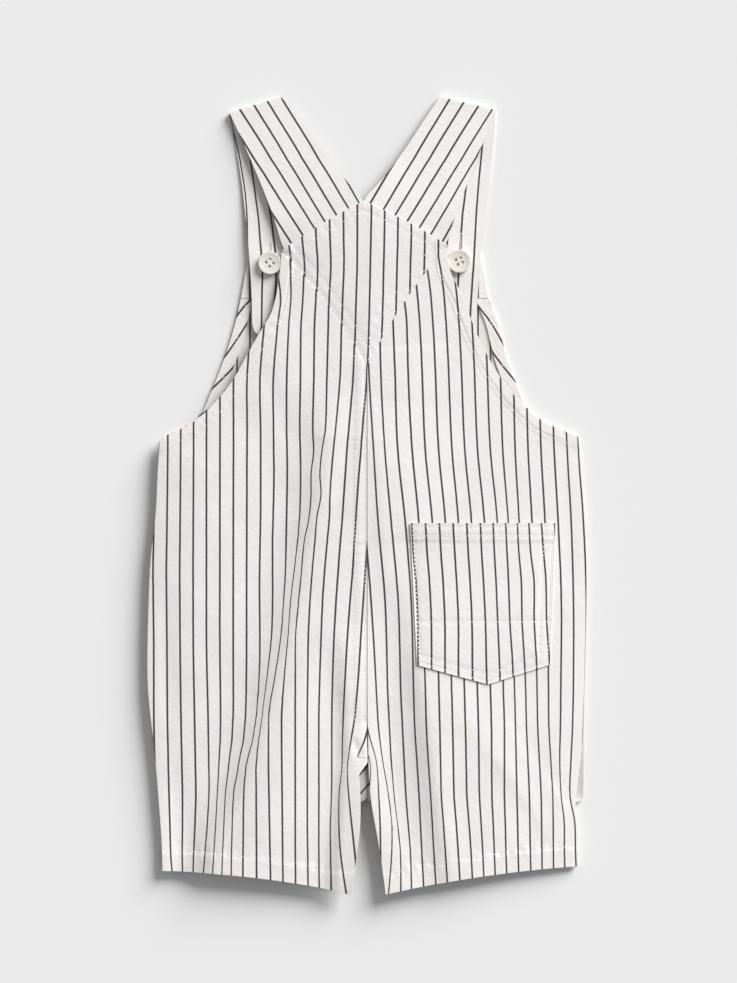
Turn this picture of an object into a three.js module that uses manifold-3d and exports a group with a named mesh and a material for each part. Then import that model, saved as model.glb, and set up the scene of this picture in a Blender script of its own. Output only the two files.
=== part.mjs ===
// Baby's striped shortalls laid flat, back up, front face down on the table.
// Millimetres. +X is the right of the garment as it is seen, +Y runs up towards the straps,
// +Z points up from the table. The origin is the middle of the underside.
import * as THREE from 'three';
import { mergeVertices } from 'three/addons/utils/BufferGeometryUtils.js';
import Module from 'manifold-3d';

const wasm = await Module();
wasm.setup();

// Driving dimensions
const CLOTH = 1.2; // wall of every cloth piece
const SEAM = 0.3; // gap between pieces that are sewn together
const SIDE_LIFT = 1.2; // the front curls up this far where it meets the side seam
const SIDE_CURL = 7; // distance from the side over which it curls
const CURL_TOP = 32; // the curl starts at this height and is whole at height 0
const CROWN_RUN = 16; // distance from an edge over which the back rises to its crown
const INSEAM_START = 8; // the rise begins this far outside the inseam
const BUTTON_DIAMETER = 14.8;
const BUTTON_HEIGHT = 2.8;
const BUTTON_RIM = 1.7;
const BUTTON_DISH = 0.7;
const BUTTON_SLOPE = 0.8; // width of the slope from the rim down to the dish
const BUTTON_FOOT = 1; // width of the slanted edge round the underside
const BUTTON_SHOULDER = 0.8; // height of the slanted edge round the top
const HOLE_DIAMETER = 1.5;
const HOLE_CIRCLE = 4.6;
const HOLE_TURN = -0.14; // radians that the four holes are turned by
const BIB_TOP = 157.5; // height of the bib's folded top edge
const BIB_HEM = 30; // depth of the hem folded down inside the bib
const ARMHOLE_HEM = 8; // width of the hem folded in along the bib's armholes
const FRONT_FORK = -198; // height of the fork of the front legs
const HEM_INSET = 0.4; // a folded hem lies this far inside the edge that it is folded at
const BIB_HEM_ROW = 2; // section of the front that the bib's hem ends at
const UNDERARM_ROW = 7; // section of the front at the underarm
const ARMHOLE_HEM_END = 6.8; // the folded armhole hem ends just above that section
const FORK_ROW = 16; // section of the back at the fork of the legs
const BIB_LEVEL = 3.0; // underside of a strap's tail where it lies on the bib's hem
const STRAP_FOLD = 1.4; // radius of the middle of the strap's wall at the shoulder fold
const STRAP_TURN = 1.8; // the fold bulges this far past the strap's last section

// Levels of the back's underside: at its edges, and how much higher it crowns
const backLevels = [
  { y: 192, edge: 5.0, crown: 2.0 },
  { y: 105, edge: 4.9, crown: 2.2 },
  { y: 85, edge: 3.6, crown: 2.6 },
  { y: 40, edge: 3.2, crown: 2.6 },
  { y: 0, edge: 3.0, crown: 2.7 },
  { y: -150, edge: 3.0, crown: 2.8 },
  { y: -215, edge: 3.0, crown: 2.6 },
  { y: -262, edge: 3.0, crown: 2.2 },
];

// Sections of the back panels, from the yoke down to the hem. Inner is the yoke and the centre
// seam, then the inseam; outer is the armhole, then the side seam. Bow lifts the middle.
const backLeftRows = [
  { innerX: -39.5, innerY: 147, outerX: -54.9, outerY: 153, bow: 0 },
  { innerX: -32.5, innerY: 138.5, outerX: -56.7, outerY: 143.5, bow: 0 },
  { innerX: -25, innerY: 127, outerX: -59.2, outerY: 128, bow: 0 },
  { innerX: -17, innerY: 115, outerX: -62.5, outerY: 117, bow: 0 },
  { innerX: -9.5, innerY: 103, outerX: -69, outerY: 106, bow: 0 },
  { innerX: -0.2, innerY: 91, outerX: -77, outerY: 92, bow: 0, corner: 'inner' },
  { innerX: -0.2, innerY: 75, outerX: -86.5, outerY: 75, bow: 0 },
  { innerX: -0.2, innerY: 61, outerX: -97, outerY: 61.5, bow: 0 },
  { innerX: -0.2, innerY: 48, outerX: -112, outerY: 47.5, bow: 0 },
  { innerX: -0.2, innerY: 36, outerX: -134.2, outerY: 36.5, bow: 0, corner: 'outer' },
  { innerX: -0.2, innerY: 16, outerX: -135.6, outerY: 17, bow: 0 },
  { innerX: -0.2, innerY: -12, outerX: -137, outerY: -12, bow: 0 },
  { innerX: -0.2, innerY: -42, outerX: -140.3, outerY: -42, bow: 0 },
  { innerX: -0.2, innerY: -70, outerX: -141.6, outerY: -69, bow: 0 },
  { innerX: -0.2, innerY: -98, outerX: -142.3, outerY: -96, bow: 0 },
  { innerX: -0.2, innerY: -124, outerX: -142.2, outerY: -122, bow: 0 },
  { innerX: -0.2, innerY: -147, outerX: -140.5, outerY: -143, bow: 0, corner: 'inner' },
  { innerX: -0.1, innerY: -160.5, outerX: -138.4, outerY: -160, bow: 0 },
  { innerX: 0.2, innerY: -173.6, outerX: -137, outerY: -175, bow: 0, corner: 'inner' },
  { innerX: -5.2, innerY: -181, outerX: -136.4, outerY: -182, bow: 0, corner: 'inner' },
  { innerX: -4.4, innerY: -195, outerX: -135.4, outerY: -195, bow: 0 },
  { innerX: -4.6, innerY: -215, outerX: -134, outerY: -213, bow: 1 },
  { innerX: -7.4, innerY: -238, outerX: -133, outerY: -230, bow: 2 },
  { innerX: -10.1, innerY: -259, outerX: -132.6, outerY: -244, bow: 3.2 },
];

const backRightRows = [
  { innerX: 39, innerY: 149, outerX: 51, outerY: 156, bow: 0 },
  { innerX: 33, innerY: 139.5, outerX: 54.2, outerY: 144, bow: 0 },
  { innerX: 25.5, innerY: 127.5, outerX: 61.8, outerY: 129, bow: 0 },
  { innerX: 17.5, innerY: 115, outerX: 66.8, outerY: 115, bow: 0 },
  { innerX: 9.5, innerY: 102.5, outerX: 72.5, outerY: 101, bow: 0 },
  { innerX: 0.2, innerY: 91, outerX: 79, outerY: 88, bow: 0, corner: 'inner' },
  { innerX: 0.2, innerY: 75, outerX: 87, outerY: 75, bow: 0 },
  { innerX: 0.2, innerY: 61, outerX: 97.5, outerY: 62, bow: 0 },
  { innerX: 0.2, innerY: 48, outerX: 113, outerY: 48, bow: 0 },
  { innerX: 0.2, innerY: 36, outerX: 137, outerY: 37.5, bow: 0, corner: 'outer' },
  { innerX: 0.2, innerY: 16, outerX: 138.6, outerY: 15, bow: 0 },
  { innerX: 0.2, innerY: -12, outerX: 140.8, outerY: -14, bow: 0 },
  { innerX: 0.2, innerY: -42, outerX: 142.1, outerY: -42, bow: 0 },
  { innerX: 0.2, innerY: -70, outerX: 142.3, outerY: -69, bow: 0 },
  { innerX: 0.2, innerY: -98, outerX: 141.7, outerY: -96, bow: 0 },
  { innerX: 0.2, innerY: -124, outerX: 141, outerY: -122, bow: 0 },
  { innerX: 0.3, innerY: -147, outerX: 140.3, outerY: -145, bow: 0, corner: 'inner' },
  { innerX: 0.7, innerY: -160.5, outerX: 139.6, outerY: -161.5, bow: 0 },
  { innerX: 1, innerY: -176, outerX: 137.8, outerY: -178, bow: 0 },
  { innerX: 2.4, innerY: -197, outerX: 135, outerY: -199, bow: 0, corner: 'outer' },
  { innerX: 5.2, innerY: -214, outerX: 136, outerY: -213, bow: 1 },
  { innerX: 8.4, innerY: -232, outerX: 136.9, outerY: -227, bow: 2 },
  { innerX: 12, innerY: -259, outerX: 137.1, outerY: -241.3, bow: 2.6 },
];

// Sections of the front from the bib's top down: outer is the bib's armhole edge, then the side
const frontLeftRows = [
  { innerX: -0.2, innerY: 157.5, outerX: -77, outerY: 157.5, bow: 0 },
  { innerX: -0.2, innerY: 139, outerX: -79.8, outerY: 139, bow: 0 },
  { innerX: -0.2, innerY: 127.5, outerX: -82.4, outerY: 127.5, bow: 0 },
  { innerX: -0.2, innerY: 113, outerX: -85.6, outerY: 113, bow: 0 },
  { innerX: -0.2, innerY: 90, outerX: -92.6, outerY: 90, bow: 0 },
  { innerX: -0.2, innerY: 68, outerX: -101.3, outerY: 68, bow: 0 },
  { innerX: -0.2, innerY: 50.5, outerX: -110, outerY: 50.5, bow: 0 },
  { innerX: -0.2, innerY: 36, outerX: -134.2, outerY: 36.5, bow: 0, corner: 'outer' },
  { innerX: -0.2, innerY: 0, outerX: -136.3, outerY: 0, bow: 0 },
  { innerX: -0.2, innerY: -42, outerX: -140.3, outerY: -42, bow: 0 },
  { innerX: -0.2, innerY: -98, outerX: -142.3, outerY: -96, bow: 0 },
  { innerX: -0.2, innerY: -147, outerX: -140.5, outerY: -143, bow: 0 },
  { innerX: -0.2, innerY: -178, outerX: -137, outerY: -175, bow: 0 },
  { innerX: -0.2, innerY: FRONT_FORK, outerX: -135.4, outerY: -195, bow: 0, corner: 'inner' },
  { innerX: -5.6, innerY: -215, outerX: -134, outerY: -213, bow: 1 },
  { innerX: -8.4, innerY: -236, outerX: -133, outerY: -230, bow: 2 },
  { innerX: -11.1, innerY: -257.8, outerX: -132.6, outerY: -242.8, bow: 3.2 },
];

const frontRightRows = [
  { innerX: 0.2, innerY: 157.5, outerX: 73.2, outerY: 157.5, bow: 0 },
  { innerX: 0.2, innerY: 139, outerX: 76.6, outerY: 139, bow: 0 },
  { innerX: 0.2, innerY: 127.5, outerX: 79, outerY: 127.5, bow: 0 },
  { innerX: 0.2, innerY: 113, outerX: 84.8, outerY: 113, bow: 0 },
  { innerX: 0.2, innerY: 90, outerX: 90.5, outerY: 90, bow: 0 },
  { innerX: 0.2, innerY: 70, outerX: 98, outerY: 70, bow: 0 },
  { innerX: 0.2, innerY: 54, outerX: 106, outerY: 54, bow: 0 },
  { innerX: 0.2, innerY: 36, outerX: 137, outerY: 37.5, bow: 0, corner: 'outer' },
  { innerX: 0.2, innerY: 0, outerX: 139.8, outerY: 0, bow: 0 },
  { innerX: 0.2, innerY: -42, outerX: 142.1, outerY: -42, bow: 0 },
  { innerX: 0.2, innerY: -98, outerX: 141.7, outerY: -96, bow: 0 },
  { innerX: 0.2, innerY: -147, outerX: 140.6, outerY: -145, bow: 0 },
  { innerX: 0.2, innerY: -178, outerX: 140.5, outerY: -176, bow: 0 },
  { innerX: 0.2, innerY: FRONT_FORK, outerX: 140.3, outerY: -198, bow: 0, corner: 'both' },
  { innerX: 3.4, innerY: -200.5, outerX: 135.2, outerY: -200.5, bow: 0, corner: 'outer' },
  { innerX: 6.2, innerY: -214, outerX: 136, outerY: -213, bow: 1 },
  { innerX: 9.4, innerY: -231, outerX: 136.9, outerY: -227, bow: 2 },
  { innerX: 13, innerY: -257.8, outerX: 137.1, outerY: -240.1, bow: 2.6 },
];

// Sections of a strap from its root under the yoke, up over the shoulder fold and down to the
// rounded tail on the bib. Level is the underside; rides is 1 where it lies at the back's level.
const strapLeftRows = [
  { innerX: -3.4, innerY: 184, outerX: -51.4, outerY: 156, level: 6, rides: 1 },
  { innerX: -2.7, innerY: 190.2, outerX: -54.6, outerY: 161, level: 6, rides: 1 },
  { innerX: -12.6, innerY: 202.4, outerX: -60, outerY: 178, level: 5.2, rides: 0.5 },
  { innerX: -20.4, innerY: 212.5, outerX: -66.5, outerY: 195.5, level: 4.4, rides: 0 },
  { innerX: -30.8, innerY: 226, outerX: -73.5, outerY: 212.5, level: 3.6, rides: 0 },
  { innerX: -43, innerY: 242, outerX: -81.8, outerY: 231.5, level: 3.0, rides: 0 },
  { innerX: -55.8, innerY: 256.9, outerX: -89.4, outerY: 246.8, level: 2.8, rides: 0 },
];

const strapLeftTailRows = [
  { innerX: -55.8, innerY: 256.9, outerX: -89.4, outerY: 246.8, level: 0 },
  { innerX: -54.3, innerY: 238, outerX: -86.4, outerY: 232, level: 0 },
  { innerX: -51.8, innerY: 207, outerX: -81.6, outerY: 203, level: 0 },
  { innerX: -49.6, innerY: 182, outerX: -78.8, outerY: 179, level: 0.8 },
  { innerX: -48.9, innerY: 161, outerX: -77, outerY: 160.5, level: BIB_LEVEL },
  { innerX: -48.5, innerY: 146, outerX: -76, outerY: 146, level: BIB_LEVEL },
  { innerX: -48.4, innerY: 126.5, outerX: -74.8, outerY: 126.5, level: BIB_LEVEL },
  { innerX: -48.8, innerY: 110, outerX: -74.3, outerY: 110, level: BIB_LEVEL },
  { innerX: -51, innerY: 105, outerX: -72.6, outerY: 105.4, level: BIB_LEVEL },
  { innerX: -56, innerY: 102.4, outerX: -68.4, outerY: 102.6, level: BIB_LEVEL },
];

const strapRightRows = [
  { innerX: -1.2, innerY: 184.2, outerX: 49, outerY: 160, level: 6, rides: 1 },
  { innerX: -1.9, innerY: 190.2, outerX: 51.9, outerY: 164.6, level: 6, rides: 1 },
  { innerX: 9.8, innerY: 204.5, outerX: 57.5, outerY: 182, level: 5.2, rides: 0.5 },
  { innerX: 19.6, innerY: 217, outerX: 63.5, outerY: 198, level: 4.4, rides: 0 },
  { innerX: 28.6, innerY: 230, outerX: 69.5, outerY: 213.5, level: 3.6, rides: 0 },
  { innerX: 38, innerY: 244.5, outerX: 76.5, outerY: 231.5, level: 3.0, rides: 0 },
  { innerX: 47.3, innerY: 257, outerX: 83.6, outerY: 248.4, level: 2.8, rides: 0 },
];

const strapRightTailRows = [
  { innerX: 47.3, innerY: 257, outerX: 83.6, outerY: 248.4, level: 0 },
  { innerX: 46.8, innerY: 240, outerX: 82.6, outerY: 233, level: 0 },
  { innerX: 47, innerY: 208, outerX: 79.4, outerY: 203, level: 0 },
  { innerX: 46.6, innerY: 182, outerX: 76, outerY: 179, level: 0.8 },
  { innerX: 46.2, innerY: 161, outerX: 74, outerY: 160.5, level: BIB_LEVEL },
  { innerX: 46, innerY: 146, outerX: 73, outerY: 146, level: BIB_LEVEL },
  { innerX: 45.8, innerY: 126.5, outerX: 71.6, outerY: 126.5, level: BIB_LEVEL },
  { innerX: 46, innerY: 110, outerX: 70.6, outerY: 110, level: BIB_LEVEL },
  { innerX: 48, innerY: 105, outerX: 68.8, outerY: 105.4, level: BIB_LEVEL },
  { innerX: 52, innerY: 102.4, outerX: 64.6, outerY: 102.6, level: BIB_LEVEL },
];

// The kite-shaped yoke: its four corners, with the lower edges bowed outwards at their middles
const yoke = {
  top: { x: -2.3, y: 190.2 },
  left: { x: -55.6, y: 158 },
  right: { x: 52.4, y: 161.6 },
  point: { x: -0.1, y: 82.9 },
  lowerBow: 3.2,
  shoulderBow: 1.2,
};

// The patch pocket on the right of the seat
const pocket = {
  left: 27.9,
  right: 122.1,
  top: -18.5,
  cornerLeftX: 32.2,
  cornerRightX: 118.5,
  cornerY: -110.3,
  pointX: 78.6,
  pointY: -122.9,
};

const buttonPlaces = [
  { name: 'button_left', x: -63.7, y: 150.4 },
  { name: 'button_right', x: 60.4, y: 151.1 },
];

// The largest folds of the back. Rise is its height, negative for a trough; spread is its width.
const folds = [
  { x1: -29, y1: 36, x2: -41, y2: -28, x3: -53, y3: -94, rise: -1.1, spread: 9 },
  { x1: -53, y1: -94, x2: -66, y2: -144, x3: -102, y3: -236, rise: -1.9, spread: 10 },
  { x1: -44, y1: 20, x2: -58, y2: -50, x3: -78, y3: -128, rise: 1.0, spread: 13 },
  { x1: -38, y1: -100, x2: -48, y2: -160, x3: -74, y3: -236, rise: 1.3, spread: 13 },
  { x1: -16, y1: -128, x2: -14, y2: -170, x3: -22, y3: -236, rise: -1.5, spread: 8 },
  { x1: 10, y1: -132, x2: 16, y2: -176, x3: 24, y3: -232, rise: -1.3, spread: 9 },
  { x1: 34, y1: -140, x2: 40, y2: -180, x3: 46, y3: -240, rise: 1.0, spread: 14 },
  { x1: 100, y1: -150, x2: 112, y2: -176, x3: 132, y3: -196, rise: -1.5, spread: 9 },
  { x1: 82, y1: -150, x2: 88, y2: -190, x3: 92, y3: -236, rise: 0.9, spread: 14 },
  { x1: -104, y1: 20, x2: -112, y2: -40, x3: -116, y3: -120, rise: 0.8, spread: 15 },
  { x1: -92, y1: 60, x2: -70, y2: 30, x3: -52, y3: -16, rise: -0.8, spread: 12 },
  { x1: 92, y1: 60, x2: 70, y2: 34, x3: 58, y3: 0, rise: -0.8, spread: 12 },
];

const clothMaterial = () =>
  new THREE.MeshStandardMaterial({ color: 0xe9e6e1, roughness: 0.9, metalness: 0 });
const buttonMaterial = () =>
  new THREE.MeshStandardMaterial({ color: 0xeee6dc, roughness: 0.35, metalness: 0 });

const lerp = (a, b, t) => a + (b - a) * t;

// Reads a table of levels at a height y, with straight lines between its rows
function readLevels(rows, y, key) {
  if (y >= rows[0].y) return rows[0][key];
  for (let k = 1; k < rows.length; k += 1) {
    if (y >= rows[k].y) {
      const t = (y - rows[k].y) / (rows[k - 1].y - rows[k].y);
      return lerp(rows[k][key], rows[k - 1][key], t);
    }
  }
  return rows[rows.length - 1][key];
}

// A smooth line through one edge of the sections, broken where a row is a corner of that edge
function edgeLine(rows, edge) {
  const spans = [];
  let start = 0;
  for (let k = 1; k < rows.length; k += 1) {
    const turns = rows[k].corner === edge || rows[k].corner === 'both';
    if (turns || k === rows.length - 1) {
      const points = rows
        .slice(start, k + 1)
        .map((row) => new THREE.Vector3(row[`${edge}X`], row[`${edge}Y`], 0));
      spans.push({ start, end: k, curve: new THREE.CatmullRomCurve3(points, false, 'centripetal') });
      start = k;
    }
  }
  return (t) => {
    const row = t * (rows.length - 1);
    const span = spans.find((item) => row <= item.end) ?? spans[spans.length - 1];
    return span.curve.getPoint((row - span.start) / (span.end - span.start));
  };
}

function sectionedPanel(rows) {
  const inner = edgeLine(rows, 'inner');
  const outer = edgeLine(rows, 'outer');
  const bow = (t) => {
    const row = Math.min(t * (rows.length - 1), rows.length - 1);
    const k = Math.min(Math.floor(row), rows.length - 2);
    return lerp(rows[k].bow, rows[k + 1].bow, row - k);
  };
  const at = (t, u) => {
    const a = inner(t);
    const b = outer(t);
    return { x: lerp(a.x, b.x, u), y: lerp(a.y, b.y, u) + 4 * bow(t) * u * (1 - u) };
  };
  return { rows, inner, outer, at };
}

const backLeft = sectionedPanel(backLeftRows);
const backRight = sectionedPanel(backRightRows);
const frontLeft = sectionedPanel(frontLeftRows);
const frontRight = sectionedPanel(frontRightRows);

// Distance from a point to a line of sampled points
function distanceTo(line, x, y) {
  let best = Infinity;
  for (let k = 1; k < line.length; k += 1) {
    const a = line[k - 1];
    const b = line[k];
    const dx = b.x - a.x;
    const dy = b.y - a.y;
    const along = ((x - a.x) * dx + (y - a.y) * dy) / (dx * dx + dy * dy || 1);
    const t = Math.min(1, Math.max(0, along));
    best = Math.min(best, Math.hypot(x - a.x - dx * t, y - a.y - dy * t));
  }
  return best;
}

function sampleLine(line, from, to, steps) {
  return Array.from({ length: steps + 1 }, (_, k) => line(lerp(from, to, k / steps)));
}

const LINE_STEPS = 66;
const outerLines = [
  sampleLine(backLeft.outer, 0, 1, LINE_STEPS),
  sampleLine(backRight.outer, 0, 1, LINE_STEPS),
];
const inseamLines = [
  sampleLine(backLeft.inner, FORK_ROW / (backLeftRows.length - 1), 1, LINE_STEPS),
  sampleLine(backRight.inner, FORK_ROW / (backRightRows.length - 1), 1, LINE_STEPS),
];
const frontSideLines = [
  sampleLine(frontLeft.outer, UNDERARM_ROW / (frontLeftRows.length - 1), 1, LINE_STEPS),
  sampleLine(frontRight.outer, UNDERARM_ROW / (frontRightRows.length - 1), 1, LINE_STEPS),
];

const FOLD_STEPS = 10;
const foldLines = folds.map((fold) => {
  const curve = new THREE.QuadraticBezierCurve(
    new THREE.Vector2(fold.x1, fold.y1),
    new THREE.Vector2(2 * fold.x2 - (fold.x1 + fold.x3) / 2, 2 * fold.y2 - (fold.y1 + fold.y3) / 2),
    new THREE.Vector2(fold.x3, fold.y3),
  );
  return { ...fold, line: curve.getPoints(FOLD_STEPS) };
});

function foldRise(x, y) {
  return foldLines.reduce((sum, fold) => {
    const off = distanceTo(fold.line, x, y) / fold.spread;
    return sum + fold.rise * Math.exp(-off * off);
  }, 0);
}

// The front's underside: flat on the table, curling up only beside the side seams
function frontLevel(x, y) {
  const off = distanceTo(frontSideLines[x < 0 ? 0 : 1], x, y) / SIDE_CURL;
  const belowArmhole = THREE.MathUtils.clamp((CURL_TOP - y) / CURL_TOP, 0, 1);
  return off > 1 ? 0 : SIDE_LIFT * belowArmhole * (1 - off) * (1 - off);
}

// The back's underside, over the front and all that lies between them
function backLevel(x, y) {
  const edge = readLevels(backLevels, y, 'edge');
  const crown = readLevels(backLevels, y, 'crown');
  const fromSide = Math.min(distanceTo(outerLines[0], x, y), distanceTo(outerLines[1], x, y));
  const fromInseam = distanceTo(inseamLines[x < 0 ? 0 : 1], x, y);
  const sideShare = 1 - Math.exp(-fromSide / CROWN_RUN);
  const inseamShare = 1 - Math.exp(-(fromInseam + INSEAM_START) / CROWN_RUN);
  return edge + sideShare * inseamShare * (crown + foldRise(x, y));
}

// Closed slab over a grid of stations, each with its place, underside and top
function slab(grid) {
  const rows = grid.length;
  const columns = grid[0].length;
  const positions = [];
  grid.forEach((row) => row.forEach((p) => positions.push(p.x, p.y, p.top)));
  grid.forEach((row) => row.forEach((p) => positions.push(p.x, p.y, p.bottom)));
  const under = rows * columns;
  const id = (r, c) => r * columns + c;
  const faces = [];
  const quad = (a, b, c, d) => faces.push(a, b, c, a, c, d);
  for (let r = 0; r < rows - 1; r += 1) {
    for (let c = 0; c < columns - 1; c += 1) {
      quad(id(r, c), id(r + 1, c), id(r + 1, c + 1), id(r, c + 1));
      quad(under + id(r, c), under + id(r, c + 1), under + id(r + 1, c + 1), under + id(r + 1, c));
    }
  }
  const rim = [];
  for (let c = 0; c < columns - 1; c += 1) rim.push(id(0, c));
  for (let r = 0; r < rows - 1; r += 1) rim.push(id(r, columns - 1));
  for (let c = columns - 1; c > 0; c -= 1) rim.push(id(rows - 1, c));
  for (let r = rows - 1; r > 0; r -= 1) rim.push(id(r, 0));
  rim.forEach((a, k) => {
    const b = rim[(k + 1) % rim.length];
    quad(a, b, under + b, under + a);
  });
  const geometry = new THREE.BufferGeometry();
  geometry.setAttribute('position', new THREE.Float32BufferAttribute(positions, 3));
  geometry.setIndex(outward(faces, positions));
  return geometry;
}

// Turns all the faces over when the volume that they close is negative
function outward(faces, positions) {
  let volume = 0;
  const corner = (k) => new THREE.Vector3().fromArray(positions, faces[k] * 3);
  for (let k = 0; k < faces.length; k += 3) {
    volume += corner(k).dot(corner(k + 1).cross(corner(k + 2)));
  }
  if (volume > 0) return faces;
  return faces.flatMap((_, k) => (k % 3 === 0 ? [faces[k], faces[k + 2], faces[k + 1]] : []));
}

function panelGeometry(panel, rowSteps, columnSteps, level) {
  const grid = [];
  for (let r = 0; r <= rowSteps; r += 1) {
    const row = [];
    for (let c = 0; c <= columnSteps; c += 1) {
      const p = panel.at(r / rowSteps, c / columnSteps);
      const bottom = level(p.x, p.y);
      row.push({ x: p.x, y: p.y, bottom, top: bottom + CLOTH });
    }
    grid.push(row);
  }
  return slab(grid);
}

// A patch between four bowed edges, lying on the back's upper face
const OVERLAY = CLOTH + SEAM;

function yokeGeometry() {
  const steps = 12;
  const bowed = (a, b, bow, t) => {
    const length = Math.hypot(b.x - a.x, b.y - a.y);
    const push = (4 * bow * t * (1 - t)) / length;
    return {
      x: lerp(a.x, b.x, t) + (b.y - a.y) * push,
      y: lerp(a.y, b.y, t) - (b.x - a.x) * push,
    };
  };
  const { top, left, right, point, lowerBow, shoulderBow } = yoke;
  const grid = [];
  for (let r = 0; r <= steps; r += 1) {
    const row = [];
    for (let c = 0; c <= steps; c += 1) {
      const u = c / steps;
      const v = r / steps;
      const topEdge = bowed(top, right, -shoulderBow, u);
      const lowEdge = bowed(left, point, -lowerBow, u);
      const leftEdge = bowed(top, left, shoulderBow, v);
      const rightEdge = bowed(right, point, lowerBow, v);
      const blend = (key) =>
        lerp(topEdge[key], lowEdge[key], v) +
        lerp(leftEdge[key], rightEdge[key], u) -
        lerp(lerp(top[key], right[key], u), lerp(left[key], point[key], u), v);
      const x = blend('x');
      const y = blend('y');
      const bottom = backLevel(x, y) + OVERLAY;
      row.push({ x, y, bottom, top: bottom + CLOTH });
    }
    grid.push(row);
  }
  return slab(grid);
}

function pocketGeometry() {
  const rowSteps = 9;
  const halfColumns = 5;
  const middle = (pocket.left + pocket.right) / 2;
  const grid = [];
  for (let r = 0; r <= rowSteps; r += 1) {
    const v = r / rowSteps;
    const row = [];
    for (let c = -halfColumns; c <= halfColumns; c += 1) {
      const u = c / halfColumns;
      const topX = lerp(middle, c < 0 ? pocket.left : pocket.right, Math.abs(u));
      const lowX = lerp(pocket.pointX, c < 0 ? pocket.cornerLeftX : pocket.cornerRightX, Math.abs(u));
      const lowY = lerp(pocket.pointY, pocket.cornerY, Math.abs(u));
      const x = lerp(topX, lowX, v);
      const y = lerp(pocket.top, lowY, v);
      const bottom = backLevel(x, y) + OVERLAY;
      row.push({ x, y, bottom, top: bottom + CLOTH });
    }
    grid.push(row);
  }
  return slab(grid);
}

// The hem folded down inside the bib, in one band from armhole to armhole
function bibHemGeometry() {
  const columnSteps = 12;
  const rowSteps = 3;
  const grid = [];
  for (let r = 0; r <= rowSteps; r += 1) {
    const y = lerp(BIB_TOP, BIB_TOP - BIB_HEM, r / rowSteps);
    const share = (BIB_HEM_ROW * r) / rowSteps;
    const from = frontLeft.outer(share / (frontLeftRows.length - 1)).x + HEM_INSET;
    const to = frontRight.outer(share / (frontRightRows.length - 1)).x - HEM_INSET;
    const row = [];
    for (let c = 0; c <= columnSteps; c += 1) {
      row.push({ x: lerp(from, to, c / columnSteps), y, bottom: OVERLAY, top: OVERLAY + CLOTH });
    }
    grid.push(row);
  }
  return slab(grid);
}

// The hem folded in along a bib armhole, from under the bib's hem to the side seam
function armholeHemGeometry(panel, rows) {
  const rowSteps = 14;
  const step = 0.004;
  const from = BIB_HEM_ROW / (rows.length - 1);
  const to = ARMHOLE_HEM_END / (rows.length - 1);
  const grid = [];
  for (let r = 0; r <= rowSteps; r += 1) {
    const t = lerp(from, to, r / rowSteps);
    const edge = panel.outer(t);
    const ahead = panel.outer(t + step);
    const length = Math.hypot(ahead.x - edge.x, ahead.y - edge.y);
    const side = Math.sign(edge.x);
    const inward = {
      x: (side * (ahead.y - edge.y)) / length,
      y: (-side * (ahead.x - edge.x)) / length,
    };
    const row = [HEM_INSET, ARMHOLE_HEM / 2, ARMHOLE_HEM].map((off) => {
      const x = edge.x + inward.x * off;
      const y = r === 0 ? edge.y - SEAM : edge.y + inward.y * off;
      const bottom = frontLevel(x, y) + OVERLAY;
      return { x, y, bottom, top: bottom + CLOTH };
    });
    grid.push(row);
  }
  return slab(grid);
}

// One strap: a band from the yoke, over the shoulder fold, down to its rounded tail
function strapGeometry(backRows, tailRows) {
  const columnSteps = 5;
  const foldSteps = 4;
  const stations = [];
  const addStation = (row, lift, drop) => {
    const ax = row.innerX;
    const ay = row.innerY + drop;
    const bx = row.outerX;
    const by = row.outerY + drop;
    const points = [];
    for (let c = 0; c <= columnSteps; c += 1) {
      const u = c / columnSteps;
      const x = lerp(ax, bx, u);
      const y = lerp(ay, by, u);
      points.push(new THREE.Vector3(x, y, lift(x, y) + CLOTH / 2));
    }
    stations.push(points);
  };
  backRows.forEach((row) => {
    addStation(row, (x, y) => lerp(row.level, backLevel(x, y), row.rides), 0);
  });
  for (let k = 1; k < foldSteps; k += 1) {
    const angle = (Math.PI * k) / foldSteps;
    const height = STRAP_FOLD * (1 + Math.cos(angle));
    addStation(tailRows[0], () => height, STRAP_TURN * Math.sin(angle));
  }
  tailRows.forEach((row) => addStation(row, () => row.level, 0));
  return band(stations);
}

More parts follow.
